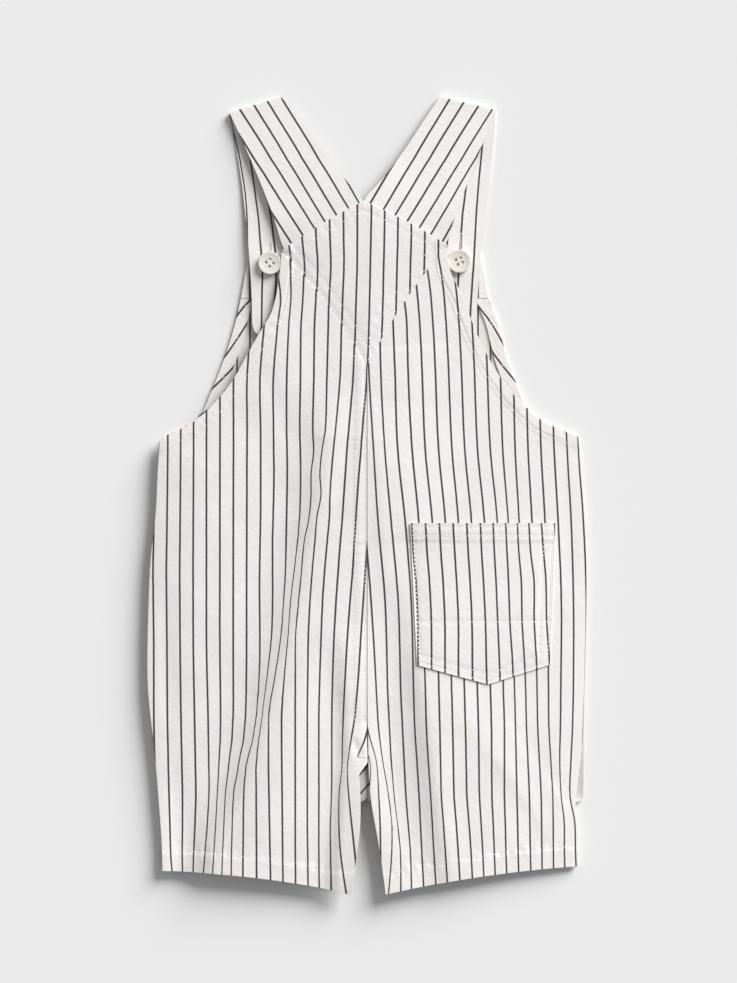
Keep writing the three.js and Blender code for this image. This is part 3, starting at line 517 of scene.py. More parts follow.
# Where the stripes run, in the photo's pixels: the x of each numbered stripe at each height. Most are read
# there, but rows 728, 757 and 760 lie between their neighbours, and down to 671 stripe 17 is 13.4 past 16.
leftStripes = tableRows(
    ("y", 0, 3, 6, 7, 8, 9, 10, 11, 12, 13, 14, 15, 16, 17),
    (205, 171, 211, 250.5, 263, 276, 290, 304, 317, 330.5, 344, 357.5, 371.5, 385.5, 398.9),
    (265, 170, 210, 250, 263.5, 277, 290.6, 304.3, 317.6, 330.9, 343.8, 356.8, 370.4, 384, 397.4),
    (300, 170, 210, 253, 267, 281, 291, 303, 316, 329, 342.5, 355.8, 369.2, 382.6, 396),
    (325, 169, 208, 251, 264.5, 278, 289, 301.2, 314.7, 328.4, 341.6, 354.9, 368.2, 381.5, 394.9),
    (380, 169, 207, 247.5, 260.3, 273.6, 287, 300.7, 314, 327, 340, 353, 366.6, 380, 393.4),
    (430, 168.5, 207, 247.5, 261, 273.8, 286.9, 300, 313, 325.6, 335.6, 348.8, 362.5, 376, 389.4),
    (452, 168.4, 207, 247.4, 261, 274, 287.3, 300.6, 314, 321.8, 333.3, 346.9, 360.8, 374.2, 387.6),
    (474, 168.2, 207, 247.3, 261, 274.3, 287.5, 301, 311.4, 320, 331.4, 345.4, 359, 372.6, 386),
    (495, 168, 207, 247.3, 261, 274, 287.2, 300.8, 311.2, 321.2, 329.9, 344, 357.4, 371, 384.4),
    (517, 167.7, 207, 247.2, 261, 273.4, 286.9, 300, 309.4, 316.9, 329.5, 342.5, 356, 369.3, 382.7),
    (542, 167.4, 207, 247.2, 260.5, 272.8, 286.5, 298, 304.1, 315, 327.3, 340.4, 354.4, 367.4, 380.8),
    (567, 167, 207, 247.1, 260, 272.9, 286, 295, 301.9, 312.7, 325, 338.5, 353, 365.5, 378.9),
    (599, 167.2, 207, 247, 259.9, 273, 284.3, 291, 298.9, 310.3, 322.8, 336.3, 350.3, 363.3, 376.7),
    (636, 167.5, 207, 247, 260.3, 271.9, 281.3, 288.3, 295.6, 308.6, 321.3, 334.2, 347.5, 360.9, 374.3),
    (671, 167.7, 207.5, 246.8, 260, 268, 276, 285, 295.6, 308.1, 320.1, 333, 345.5, 358.7, 372.1),
    (716, 168, 208.6, 246, 257, 262.5, 268.8, 282, 295.6, 307.6, 319, 332, 343.4, 354.8, 368.4),
    (728, 168.2, 208.8, 244.9, 255, 260.6, 268.8, 282, 295.6, 307.6, 319, 332, 343, 352.7, 367.6),
    (740, 168.4, 209, 243.8, 253, 258.8, 268.8, 282, 295.6, 307.6, 319, 332, 342.6, 350.6, 364.2),
    (757, 168.8, 209.3, 240.4, 248.4, 257.2, 268.9, 282.1, 295.6, 307.6, 319, 332, 342.6, 348.2, 357.6),
    (760, 168.8, 209.3, 239.8, 247.6, 256.9, 268.9, 282.2, 295.6, 307.6, 319, 332, 342.6, 347.8, 357.2),
    (764, 168.9, 209.4, 239, 246.5, 256.5, 268.9, 282.2, 295.6, 307.6, 319, 332, 342.6, 347.2, 356.8),
    (790, 169.5, 209.7, 234.3, 244.3, 256.7, 269.4, 282.5, 295.6, 307.6, 319, 332, 339.3, 348.4, 360.2),
    (827, 170.5, 207.7, 232.6, 243.8, 256.9, 270, 282.8, 295.6, 307.6, 319, 330.6, 338.8, 352.2, 365),
    (852, 171.2, 205.6, 232, 243.5, 257, 270.5, 283, 295.6, 308, 319, 330.8, 340.6, 355, 368.4),
    (895, 175, 202, 231.5, 243.2, 257.2, 271.5, 283.5, 296, 308.4, 319.5, 331.3, 347, 358.5, 372),
)

rightStripes = tableRows(
    ("y", -2, -1, 0, 1, 2, 3, 4, 6, 9, 11, 13, 14, 15, 16),
    (250, 332, 345, 358, 371, 384, 397, 410.5, 437, 476, 502, 528, 541.5, 555, 568),
    (287, 337, 350, 363, 376, 389, 402, 416.3, 442.8, 480.8, 507, 532, 545, 558, 571),
    (316, 340, 353, 366, 379, 392.5, 406, 419, 445.3, 484, 510, 535, 548, 561, 573),
    (342, 341.5, 354.5, 367.3, 380, 393.7, 407.2, 420.6, 447, 485.6, 511.6, 537, 550, 563, 575),
    (373, 343, 356, 369, 380.7, 395, 408, 422, 448.5, 487, 513, 538.5, 551.5, 564, 576),
    (450, 347, 360, 373.6, 384.7, 397.5, 412, 425, 451.7, 490, 514.7, 540.6, 553.7, 566.8, 578),
    (521, 351, 364.8, 378, 391, 405, 418.5, 432, 458, 497, 518.6, 544.5, 557.7, 570.8, 583),
    (600, 358, 371, 385, 398, 411, 421.8, 436, 461.2, 500.3, 522, 547, 561, 573, 586),
    (690, 364.5, 376.3, 387.5, 400.6, 413.4, 425, 438.6, 464, 503, 525.2, 548, 560.4, 573, 584.4),
    (725, 367, 378.4, 389.2, 402.3, 414.5, 426, 439.5, 465, 504, 526, 548.4, 560, 572.2, 583),
    (760, 376.2, 382.6, 391, 404, 416.8, 428, 440.2, 465.8, 504, 527.5, 550.5, 559.2, 570.6, 582),
    (796, 378.8, 389, 393.9, 405.8, 419, 430.5, 441, 466.6, 504, 529, 552.5, 560.8, 569.6, 581),
    (821, 380, 392, 396.9, 407.8, 420.2, 432, 443, 468.6, 504.8, 529.5, 552.8, 563.8, 574.3, 585),
    (850, 380.6, 391.8, 400.2, 410.2, 421.6, 433.6, 445, 470.7, 505.5, 530, 553, 564, 575.2, 586),
    (895, 381, 388, 400.8, 411.5, 424, 436.5, 448, 473, 507, 531, 553.6, 565.5, 577, 588),
)

yokeStripes = tableRows(
    ("y", 6, 9, 12, 15, 18, 20),
    (200, 246.5, 287.4, 329, 371.7, 411, 437.4),
    (240, 247.5, 288.6, 330.2, 370.9, 411.1, 438.2),
    (265, 250, 291.6, 331, 370.3, 410.3, 438),
    (300, 250.5, 291.2, 329.3, 369.6, 409.5, 436.5),
    (335, 248, 288.2, 328.2, 368.7, 408, 435),
    (370, 247, 287.3, 327.3, 367.4, 407, 434),
)

pocketStripes = tableRows(
    ("y", 0, 3, 5, 7, 9, 10, 11),
    (523, 411.6, 452.7, 480, 505.2, 528.4, 540.9, 554.4),
    (551, 413, 454.3, 481.2, 506.5, 530, 542.9, 556),
    (580, 415.6, 456.2, 483, 508, 533.5, 545.4, 557.5),
    (621, 417.5, 458, 485, 509.4, 533.7, 546.2, 558.5),
    (661, 417.9, 458, 485.9, 512, 535.9, 549, 561),
    (684, 418, 458, 486.5, 513, 537, 550, 562),
)

strapStripes = {
    "left": tableRows(
        ("y", 0, 1, 2, 3, 4, 5, 6),
        (100, 199, 216.2, 233.7, 250.7, 266.4, 282.4, 298),
        (160, 237.6, 254.6, 271.4, 287.1, 302.7, 318.9, 333.9),
        (202, 264.6, 281.4, 297.8, 312.6, 328.1, 344.4, 358),
        (245, 292.3, 308.9, 324.8, 338.7, 354.2, 370.5, 382.7),
    ),
    "right": tableRows(
        ("y", 0, 1, 2, 3, 4, 5, 6),
        (100, 432.5, 449.5, 465.4, 482.3, 498.4, 510, 527),
        (160, 396.6, 413.6, 429, 445.4, 461.4, 474.8, 489),
        (205, 369.7, 386.8, 401.7, 417.7, 433.8, 448.4, 463),
        (250, 342.8, 359.9, 374.4, 390, 406, 421.9, 438),
    ),
}

tailStripes = {
    "left": tableRows(
        ("y", 0, 1, 2, 3),
        (100, 227.5, 240, 252.5, 265),
        (117, 230.3, 243, 255.5, 268),
        (157, 239.4, 249.8, 262.5, 275),
        (200, 245.9, 255.9, 268.2, 281),
        (222, 247.2, 258.8, 271.7, 285),
        (238, 247.4, 260, 273.6, 287),
        (255, 247.8, 261.5, 275.7, 289),
        (272, 248.6, 262.5, 276.3, 290),
        (297, 248.8, 262.1, 275.2, 288),
        (326, 248.6, 261.7, 272.5, 285),
        (340, 248, 260.4, 271, 283),
    ),
    "right": tableRows(
        ("y", 0, 1, 2, 3),
        (100, 456, 470, 484.5, 497.2),
        (141, 455.5, 469, 482.5, 495.6),
        (190, 453, 465.6, 478.1, 490.5),
        (215, 449.5, 462.4, 476.2, 488),
        (265, 445.5, 459, 473.5, 486),
        (300, 443.5, 457, 471, 484),
        (340, 441.5, 455, 469, 482),
    ),
}


def stripesAcross(rows, x, y):
    # the stripe coordinate of each place: a whole number on the middle of a stripe
    numbers = [key for key in rows[0] if key != "y"]
    px, py = toPixels(x.ravel(), y.ravel())
    shares = np.interp(py, [row["y"] for row in rows], np.linspace(0, 1, len(rows)))
    lines = [crLine([(row[number], row["y"]) for row in rows], shares)[:, 0] for number in numbers]
    result = np.zeros(len(px))
    for k, (low, high) in enumerate(zip(lines, lines[1:])):
        here = numbers[k] + (px - low) / (high - low) * (numbers[k + 1] - numbers[k])
        inside = ((px >= low) | (k == 0)) & ((px < high) | (k == len(lines) - 2))
        result = np.where(inside, here, result)
    return result.reshape(x.shape)


# Meshes

def gridFaces(rows, columns):
    # the faces of a grid of points, and the loop of points round its edge
    index = np.arange(rows * columns).reshape(rows, columns)
    loop = np.concatenate([index[0, :-1], index[:-1, -1], index[-1, :0:-1], index[:0:-1, 0]])
    corners = [index[:-1, :-1], index[1:, :-1], index[1:, 1:], index[:-1, 1:]]
    return np.stack(corners, axis=-1).reshape(-1, 4), loop


def edgeDrop(x, y):
    # the outer half millimetre of a grid bends down, as a folded edge does
    loop = gridFaces(*x.shape)[1]
    edge = np.stack([x.ravel(), y.ravel()], axis=1)[np.append(loop, loop[0])]
    drop = np.zeros(x.shape)
    near = np.zeros(x.shape, bool)
    near[:4] = near[-4:] = True
    near[:, :4] = near[:, -4:] = True
    off, _, _ = nearestOn(edge, x[near], y[near])
    drop[near] = cloth["edgeDrop"] * np.clip(1 - off / cloth["edgeDropRun"], 0, 1) ** 2
    return drop


def clothShell(name, x, y, top, u, v, wall=None, innerUv=None):
    # a thin closed shell on a grid of places, with rounded edges; its UV map holds the stripe
    # coordinate and the length along the stripe, with another pair for the lower face where it differs
    wall = np.broadcast_to(cloth["wall"] if wall is None else wall, x.shape)
    thick = np.maximum(wall - cloth["wall"], 0)
    top = top - edgeDrop(x, y)
    upper = np.stack([x, y, top], axis=-1).reshape(-1, 3)
    lower = np.stack([x - np.sign(x) * cloth["edgeTuck"] * thick, y, top - wall], axis=-1).reshape(-1, 3)
    faces, loop = gridFaces(*x.shape)
    ring = upper[loop]
    ahead = np.roll(ring, -1, axis=0) - np.roll(ring, 1, axis=0)
    turn = np.sign(np.sum(ring[:, 0] * np.roll(ring[:, 1], -1) - np.roll(ring[:, 0], -1) * ring[:, 1]))
    outward = unit(turn * np.stack([ahead[:, 1], -ahead[:, 0], np.zeros(len(ring))], axis=1))
    middle = ring + outward * cloth["edgeRound"]
    middle[:, 2] -= np.minimum((ring - lower[loop])[:, 2], 2 * cloth["wall"]) / 2
    upFaces = faces if turn < 0 else faces[:, [0, 3, 2, 1]]
    here = 2 * x.size + np.arange(len(loop))
    after, loopAfter = np.roll(here, -1), np.roll(loop, -1)
    rim = np.concatenate([
        np.stack([loop, here, after, loopAfter], axis=1),
        np.stack([here, x.size + loop, x.size + loopAfter, after], axis=1),
    ])
    if turn < 0:
        rim = rim[:, ::-1]
    upperUv = np.stack([u.ravel(), v.ravel()], axis=1)
    lowerUv = upperUv.copy() if innerUv is None else np.stack([grid.ravel() for grid in innerUv], axis=1)
    # a stripe that meets an edge doesn't run on down the wall
    rimUv = np.stack([np.round(upperUv[loop][:, 0] - 0.5) + 0.5, upperUv[loop][:, 1]], axis=1)
    lowerUv[loop] = np.where(thick.ravel()[loop][:, None] > 0.3, rimUv, lowerUv[loop])
    return linkCloth(
        name, np.concatenate([upper, lower, middle]),
        np.concatenate([upFaces, upFaces[:, ::-1] + x.size, rim]), np.concatenate([upperUv, lowerUv, rimUv]),
    )


def linkMesh(name, points, faces):
    # a smooth object from points in millimetres
    mesh = bpy.data.meshes.new(name)
    mesh.from_pydata((np.array(points) * mm).tolist(), [], faces)
    mesh.polygons.foreach_set("use_smooth", np.ones(len(mesh.polygons), bool))
    mesh.update()
    obj = bpy.data.objects.new(name, mesh)
    bpy.context.scene.collection.objects.link(obj)
    return obj


def linkCloth(name, points, faces, uv):
    obj = linkMesh(name, points, faces.tolist())
    layer = obj.data.uv_layers.new(name="weave")
    corner = np.zeros(len(obj.data.loops), int)
    obj.data.loops.foreach_get("vertex_index", corner)
    layer.data.foreach_set("uv", uv[corner].astype(np.float32).ravel())
    obj.data.set_sharp_from_angle(angle=math.radians(48))
    return obj


def selectOnly(obj):
    for other in bpy.context.selected_objects:
        other.select_set(False)
    obj.select_set(True)
    bpy.context.view_layer.objects.active = obj


def evenShares(length, step, edgeSteps=(0.0, 0.35, 0.9)):
    # shares along a length: a few close to each end, then one every step
    inner = np.linspace(edgeSteps[-1], length - edgeSteps[-1], max(2, int(round(length / step))))
    places = np.concatenate([edgeSteps[:-1], inner, length - np.array(edgeSteps[:-1])[::-1]])
    return places / length


def rowShares(rows, step):
    # row places of a panel so that they are evenly far apart
    fine = np.linspace(0, 1, 400)
    run = runAlong((edgeAt(rows, "inner", fine) + edgeAt(rows, "outer", fine)) / 2)
    return np.interp(evenShares(run[-1], step) * run[-1], run, fine)


def finishCloth(obj, nodes, material):
    obj.data.materials.append(material)
    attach(obj, "root")
    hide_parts(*nodes)


# Materials

def hexColour(text):
    channels = [int(text[k:k + 2], 16) / 255 for k in (0, 2, 4)]
    linear = [c / 12.92 if c <= 0.04045 else ((c + 0.055) / 1.055) ** 2.4 for c in channels]
    return (*linear, 1.0)


def newMaterial(name):
    material = bpy.data.materials.new(name)
    material.use_nodes = True
    material.node_tree.nodes.clear()
    return material


def addNode(material, kind, settings=None):
    # settings gives properties by name and sockets by name or number; a socket takes a value or
    # another node's output
    node = material.node_tree.nodes.new(kind)
    for key, value in (settings or {}).items():
        if isinstance(value, bpy.types.NodeSocket):
            material.node_tree.links.new(value, node.inputs[key])
        elif isinstance(key, str) and hasattr(node, key):
            setattr(node, key, value)
        else:
            node.inputs[key].default_value = value
    return node


def addShader(material, settings):
    shader = addNode(material, "ShaderNodeBsdfPrincipled", settings)
    addNode(material, "ShaderNodeOutputMaterial", {0: shader.outputs[0]})
    return material


def cloudedMaterial(name, scale, detail, colours, settings):
    # noise mixes two close colours
    material = newMaterial(name)
    place = addNode(material, "ShaderNodeTexCoord").outputs["Object"]
    cloud = addNode(material, "ShaderNodeTexNoise", {"Vector": place, "Scale": scale, "Detail": detail})
    first, second = (hexColour(colour) for colour in colours)
    tone = addNode(material, "ShaderNodeMix", {"data_type": "RGBA", 0: cloud.outputs[0], 6: first, 7: second})
    return addShader(material, {"Base Color": tone.outputs[2], **settings})


# Yarn-dyed cotton twill, washed: off-white ground with a navy pinstripe woven in. It gives a matte,
# slightly fuzzy surface with a fine diagonal grain.
twill = {
    "stripeFade": "58525C",
    "roughness": 0.88,
    "sheen": 0.12,
    "grainPitch": 0.75,     # twill lines; the real ones are 0.4 mm apart and too fine to show
    "stripeWander": 0.03,   # shares of the stripes' pitch
    "stripeFray": 0.028,
    "slubScale": (26.0, 1.6, 1.0),
    "bump": 0.0004,
}


def twillMaterial(name, ground, shade, stripe):
    material = newMaterial(name)

    def add(kind, settings, output=0):
        return addNode(material, kind, settings).outputs[output]

    def maths(operation, *values):
        return add("ShaderNodeMath", {"operation": operation, **dict(enumerate(values))})

    def mix(share, a, b):
        return add("ShaderNodeMix", {"data_type": "RGBA", 0: share, 6: a, 7: b}, 2)

    def grain(place, scale, detail, roughness):
        settings = {"Vector": place, "Scale": scale, "Detail": detail, "Roughness": roughness}
        return add("ShaderNodeTexNoise", settings)

    def about(value, size):
        return maths("MULTIPLY", maths("SUBTRACT", value, 0.5), size)

    weave = add("ShaderNodeUVMap", {"uv_map": "weave"})
    split = addNode(material, "ShaderNodeSeparateXYZ", {0: weave})
    across, along = split.outputs[0], split.outputs[1]
    # the stripe's middle wanders by a tenth of a millimetre, and its edges are frayed by single yarns
    shifted = maths("ADD", across, about(grain(weave, 1.1, 3.0, 0.6), twill["stripeWander"]))
    fromStripe = maths("ABSOLUTE", maths("SUBTRACT", shifted, maths("ROUND", shifted)))
    frayed = maths("ADD", fromStripe, about(grain(weave, 16.0, 2.0, 0.6), twill["stripeFray"]))
    halfWidth = cloth["stripeWidth"] / cloth["stripePitch"] / 2
    edge = add("ShaderNodeMapRange", {
        "interpolation_type": "SMOOTHSTEP", 0: frayed,
        1: halfWidth * 0.72, 2: halfWidth * 1.28, 3: 1.0, 4: 0.0,
    })
    # slubs: yarns of uneven thickness lighten and darken the ground in long thin streaks
    streaks = {"vector_type": "POINT", "Vector": weave, "Scale": twill["slubScale"]}
    slub = grain(add("ShaderNodeMapping", streaks), 1.0, 4.0, 0.65)
    mottle = grain(weave, 0.35, 3.0, 0.5)
    tone = maths("ADD", maths("MULTIPLY", slub, 0.6), maths("MULTIPLY", mottle, 0.4))
    toneShare = add("ShaderNodeMapRange", {0: tone, 1: 0.35, 2: 0.65, 3: 0.0, 4: 1.0})
    groundTone = mix(toneShare, hexColour(shade), hexColour(ground))
    yarn = maths("MULTIPLY", grain(weave, 30.0, 2.0, 0.5), 0.45)
    stripeTone = mix(yarn, hexColour(stripe), hexColour(twill["stripeFade"]))
    # twill grain: diagonal ridges, broken up by noise
    diagonal = maths("ADD", maths("MULTIPLY", across, 0.9), maths("MULTIPLY", along, 0.9))
    diagonal = maths("MULTIPLY", diagonal, cloth["stripePitch"] / twill["grainPitch"])
    ridge = maths("SINE", maths("MULTIPLY", diagonal, 2 * math.pi))
    crumple = maths("MULTIPLY", grain(weave, 2.2, 5.0, 0.6), 1.3)
    rough = maths("ADD", maths("MULTIPLY", slub, 0.35), crumple)
    height = maths("ADD", maths("MULTIPLY", ridge, 0.10), rough)
    return addShader(material, {
        "Base Color": mix(edge, groundTone, stripeTone),
        "Normal": add("ShaderNodeBump", {"Height": height, "Strength": 0.45, "Distance": twill["bump"]}),
        "Roughness": twill["roughness"], "Sheen Weight": twill["sheen"], "Sheen Roughness": 0.5,
        "Specular IOR Level": 0.25, "IOR": 1.5,
    })


outerTwill = twillMaterial("Washed cotton twill, pinstriped", "E2DEDB", "D9D5D2", "312D37")
innerTwill = twillMaterial("Washed cotton twill, wrong side", "E1DCD8", "D9D4CF", "47434E")

# Cotton sewing thread, matte white
threadMaterial = cloudedMaterial(
    "Cotton sewing thread", 900.0, 1.0, ("E6E2DD", "DAD6D1"), {"Roughness": 0.7, "Sheen Weight": 0.1})

# Painted shade: the buttonhole's slit is a dark grey sheet standing in for the shade inside it, where no
# light reaches
slitShadeMaterial = cloudedMaterial(
    "Painted shade in the buttonhole slit", 700.0, 1.0, ("4C4846", "6E6966"), {"Roughness": 0.9})

# Polyester resin button, cast and polished: cream with a faint cloudiness and a soft gloss
resinMaterial = cloudedMaterial(
    "Cast polyester button resin", 160.0, 3.0, ("DCD8D0", "D4CFC6"),
    {"Roughness": 0.32, "IOR": 1.54, "Subsurface Weight": 0.1, "Subsurface Scale": 0.001,
     "Coat Weight": 0.2, "Coat Roughness": 0.2},
)
print("materials made")


# Stitch rows, as lines of points
def offsetLine(line, distance):
    # the line moved to the left of its run
    d = unit(np.gradient(np.asarray(line, float), axis=0))
    return line + distance * np.stack([-d[:, 1], d[:, 0]], axis=1)


inward = {"left": 1, "right": -1}
armholeStitch = {s: offsetLine(armholeLines[s], inward[s] * stitching["armholeIn"]) for s in sides}
centreStitch = [centreLine + np.array([-stitching[key], 0]) for key in ("centreNear", "centreFar")]
legHemStitch = {s: hemLine(backRows[s], stitching["legHem"]) for s in sides}

# The kite-shaped yoke
yoke = {
    "top": (-2.3, 190.2),
    "left": (-55.6, 158),
    "right": (52.4, 161.6),
    "point": (-0.1, 82.9),
    "lowerBow": 3.2,
    "shoulderBow": 1.2,
    "edgeLength": 78.0,
    "gridStep": 1.3,
    # how far each edge stands above the panels, the thickness there and the rows of stitches along it
    "step": {"lowerLeft": 0.03, "lowerRight": 0.22, "shoulderLeft": 0.8, "shoulderRight": 0.8},
    "wall": 0.45,
    "stitches": {
        "lowerLeft": (1.4, 7.4), "lowerRight": (-1.4, -7.4), "shoulderLeft": (5.6,), "shoulderRight": (-5.6,),
    },
    "bed": 0.6,
    "bedRun": 1.2,
    "fullness": 0.5,
    "fullRun": 12,
}


def bowedLine(a, b, bow, t):
    a, b = np.array(a, float), np.array(b, float)
    across = np.array([b[1] - a[1], a[0] - b[0]]) / np.linalg.norm(b - a)
    t = np.asarray(t)[:, None]
    return a + (b - a) * t + across * 4 * bow * t * (1 - t)


def yokeLines(t):
    return {
        "lowerLeft": bowedLine(yoke["left"], yoke["point"], -yoke["lowerBow"], t),
        "lowerRight": bowedLine(yoke["right"], yoke["point"], yoke["lowerBow"], t),
        "shoulderLeft": bowedLine(yoke["top"], yoke["left"], yoke["shoulderBow"], t),
        "shoulderRight": bowedLine(yoke["top"], yoke["right"], -yoke["shoulderBow"], t),
    }


def yokeGrid(t):
    top, right, left, point = (np.array(yoke[key], float) for key in ("top", "right", "left", "point"))
    edges = yokeLines(t)
    u, v = t[None, :, None], t[:, None, None]
    corner = (top * (1 - u) + right * u) * (1 - v) + (left * (1 - u) + point * u) * v
    grid = edges["shoulderRight"][None] * (1 - v) + edges["lowerLeft"][None] * v
    grid = grid + edges["shoulderLeft"][:, None] * (1 - u) + edges["lowerRight"][:, None] * u - corner
    return grid[..., 0], grid[..., 1]


yokeX, yokeY = yokeGrid(evenShares(yoke["edgeLength"], yoke["gridStep"]))
yokeEdges = yokeLines(np.linspace(0, 1, 60))
yokeStitch = [offsetLine(yokeEdges[name], off) for name, offs in yoke["stitches"].items() for off in offs]


def insideYoke(x, y):
    # how far a place lies inside the yoke's two lower edges; 0 outside it
    depth = []
    for name, sign in (("lowerLeft", 1), ("lowerRight", -1)):
        off, _, side = nearestOn(yokeEdges[name], x, y)
        depth.append(off * side * sign)
    return np.maximum(np.minimum(*depth), 0)


backCloth = {
    "width": 138.0,         # of the widest row, for the mesh
    "yokeFade": 5.0,        # the armhole's stitches pull less this close to the yoke
    "seamTop": 91,
    "seamFoot": -147,
    "seamFade": 4,
    "seamRise": 0.3,
    "puckersBelow": -170.6,
    "lastStripe": 16.4,
    "turnRun": 2.4,
}


def backPanel(side):
    rows = backRows[side]
    u = evenShares(backCloth["width"], cloth["gridStep"])
    x, y = panelAt(rows, rowShares(rows, cloth["gridStep"]), u)
    top = backTop(x, y)
    fromYoke = np.minimum(*(nearestOn(yokeEdges[name], x, y)[0] for name in ("lowerLeft", "lowerRight")))
    clear = np.clip((fromYoke - 1) / backCloth["yokeFade"], 0, 1) * (insideYoke(x, y) == 0)
    top += clear * stitchDip(armholeStitch[side], x, y, 1.0)
    top += stitchDip(legHemStitch[side], x, y, 2.0, depth=0.4, pucker=0.18)
    if side == "left":
        for line in centreStitch:
            top += stitchDip(line, x, y, 3.0, pucker=0.05)
        fromEnds = np.minimum(backCloth["seamTop"] - y, y - backCloth["seamFoot"])
        ends = np.clip(fromEnds / backCloth["seamFade"], 0, 1)
        top += backCloth["seamRise"] * ends * band(-x, stitching["centreFar"] + 1.2, 2.0)
    # under the yoke the panel is pressed down, so that the yoke's edges lie nearly flush
    top -= yoke["bed"] * np.clip(insideYoke(x, y) / yoke["bedRun"], 0, 1)
    across = stripesAcross(leftStripes if side == "left" else rightStripes, x, y)
    if side == "left":
        # below the fork the last stripe ends in the puckers
        ended = (y < backCloth["puckersBelow"]) & (across > backCloth["lastStripe"])
        across = np.where(ended, 16.5, across)
    # at the side seam the panel turns down to the front
    fromSide = nearestOn(frontSideLines[side], x, y)[0]
    toFront = top - (inside["top"] + cloth["layerGap"])
    turn = np.clip(1 - fromSide / backCloth["turnRun"], 0, 1) ** 0.5
    wall = cloth["wall"] + np.maximum(toFront - cloth["wall"], 0) * turn
    obj = clothShell("back_panel_" + side, x, y, top, across, y / cloth["stripePitch"], wall)
    finishCloth(obj, ["back_" + side], outerTwill)
    return obj


# The front's inside shows round the bib, with upright stripes, and in the fork's gap, where the
# facing of the inseam has slanting ones
inside = {
    "leftStripe": 250.0,
    "leftPitch": 12.8,
    "rightStripe": 478.0,
    "rightPitch": 12.4,
    "slantPlace": (364.6, 788),
    "slant": (0.75, -0.66),
    "slantBelow": -150,
    "slantHalf": 22,        # the facing is this wide to each side; beyond it the cloth shows plain
    "top": 0.9,
    "gridStep": 2.4,
    "bulge": {"place": (-1.5, -188), "rise": 6.4, "run": 15, "longer": 1.6},
}


def insideStripes(x):
    px, _ = toPixels(x, 0)
    left = (px - inside["leftStripe"]) / inside["leftPitch"]
    right = (px - inside["rightStripe"]) / inside["rightPitch"]
    return np.where(px < photo["middleX"], left, right)


def frontPanel(side):
    rows = frontRows[side]
    u = evenShares(backCloth["width"], inside["gridStep"])
    x, y = panelAt(rows, rowShares(rows, inside["gridStep"]), u)
    bulge = inside["bulge"]
    fromBulge = np.hypot(x - bulge["place"][0], (y - bulge["place"][1]) / bulge["longer"])
    top = frontLevel(x, y) + inside["top"] + bulge["rise"] * bell(fromBulge, bulge["run"])
    sx, sy = fromPixels(*inside["slantPlace"])
    slanting = (inside["slant"][0] * (x - sx) + inside["slant"][1] * (y - sy)) / cloth["stripePitch"]
    across = np.where(np.abs(x) < inside["slantHalf"], slanting, 0.5)
    across = np.where(y < inside["slantBelow"], across, insideStripes(x))
    along = y / cloth["stripePitch"]
    outer = (x / cloth["stripePitch"], along)
    obj = clothShell("front_panel_" + side, x, y, top, across, along, innerUv=outer)
    finishCloth(obj, ["front_" + side], innerTwill)


backPieces = {side: backPanel(side) for side in sides}
for side in sides:
    frontPanel(side)
print("panels made")


def yokeTop(x, y):
    # the lower left seam is pressed so flat that the stripes seem to run on over it
    off = {name: nearestOn(line, x, y)[0] for name, line in yokeEdges.items()}
    weights = {name: 1 / (distance + 0.4) ** 2 for name, distance in off.items()}
    step = sum(weights[name] * yoke["step"][name] for name in off) / sum(weights.values())
    fromEdge = np.minimum.reduce(list(off.values()))
    top = backTop(x, y) + step + yoke["fullness"] * (1 - np.exp(-fromEdge / yoke["fullRun"]))
    for number, line in enumerate(yokeStitch):
        top = top + stitchDip(line, x, y, 4.0 + number, depth=0.16, pucker=0.08)
    return top


yokePiece = clothShell(
    "yoke", yokeX, yokeY, yokeTop(yokeX, yokeY),
    stripesAcross(yokeStripes, yokeX, yokeY), yokeY / cloth["stripePitch"], yoke["wall"],
)
finishCloth(
    yokePiece, ["back_yoke"],
    outerTwill,
)
print("yoke made")

# The patch pocket
pocket = {
    "left": 27.9,
    "right": 122.1,
    "top": -18.5,
    "cornerLeftX": 32.2,
    "cornerRightX": 118.5,
    "cornerY": -110.3,
    "pointX": 78.6,
    "pointY": -122.9,
    "edgeLengths": (47.0, 96.0),
    "gridStep": 1.3,
    "lift": 0.85,
    "fullness": 0.8,
    "fullRun": 12,
    "flatEdge": 4,
    "rowInset": 0.8,
    "brimStitch": 2.0,
    "mouthStitch": 8.3,
    "mouthFold": 11.8,      # the turned hem ends here, under the stitching
    "foldRise": 0.3,
    "edgeStitch": 1.4,
    "innerStitch": 6.2,
    "innerLeft": 1.6,
    "innerRight": 7.1,
    "tackRow": -82.4,
    "tackInset": 3.5,
}


def pocketGrid(u, v):
    # u runs from the left to the right edge with the point at one half, v from the mouth down
    share = np.abs(u * 2 - 1)
    mouth = (pocket["left"] + pocket["right"]) / 2
    topX = mouth + (np.where(u < 0.5, pocket["left"], pocket["right"]) - mouth) * share
    cornerX = np.where(u < 0.5, pocket["cornerLeftX"], pocket["cornerRightX"])
    lowX = pocket["pointX"] + (cornerX - pocket["pointX"]) * share
    lowY = pocket["pointY"] + (pocket["cornerY"] - pocket["pointY"]) * share
    v = v[:, None]
    return topX + (lowX - topX) * v, pocket["top"] + (lowY - pocket["top"]) * v


def densify(points, step=1.5):
    line = [np.array(points[0], float)]
    for a, b in zip(points, points[1:]):
        count = max(1, int(round(math.dist(a, b) / step)))
        line += [np.array(a) + (np.array(b) - np.array(a)) * k / count for k in range(1, count + 1)]
    return np.array(line)


def insetPocket(left, right, down, up, lowUp):
    # the pocket's sides and bottom, moved in
    return densify([
        (pocket["left"] + left, pocket["top"] - down),
        (pocket["cornerLeftX"] + left, pocket["cornerY"] + up),
        (pocket["pointX"], pocket["pointY"] + lowUp),
        (pocket["cornerRightX"] - right, pocket["cornerY"] + up),
        (pocket["right"] - right, pocket["top"] - down),
    ])


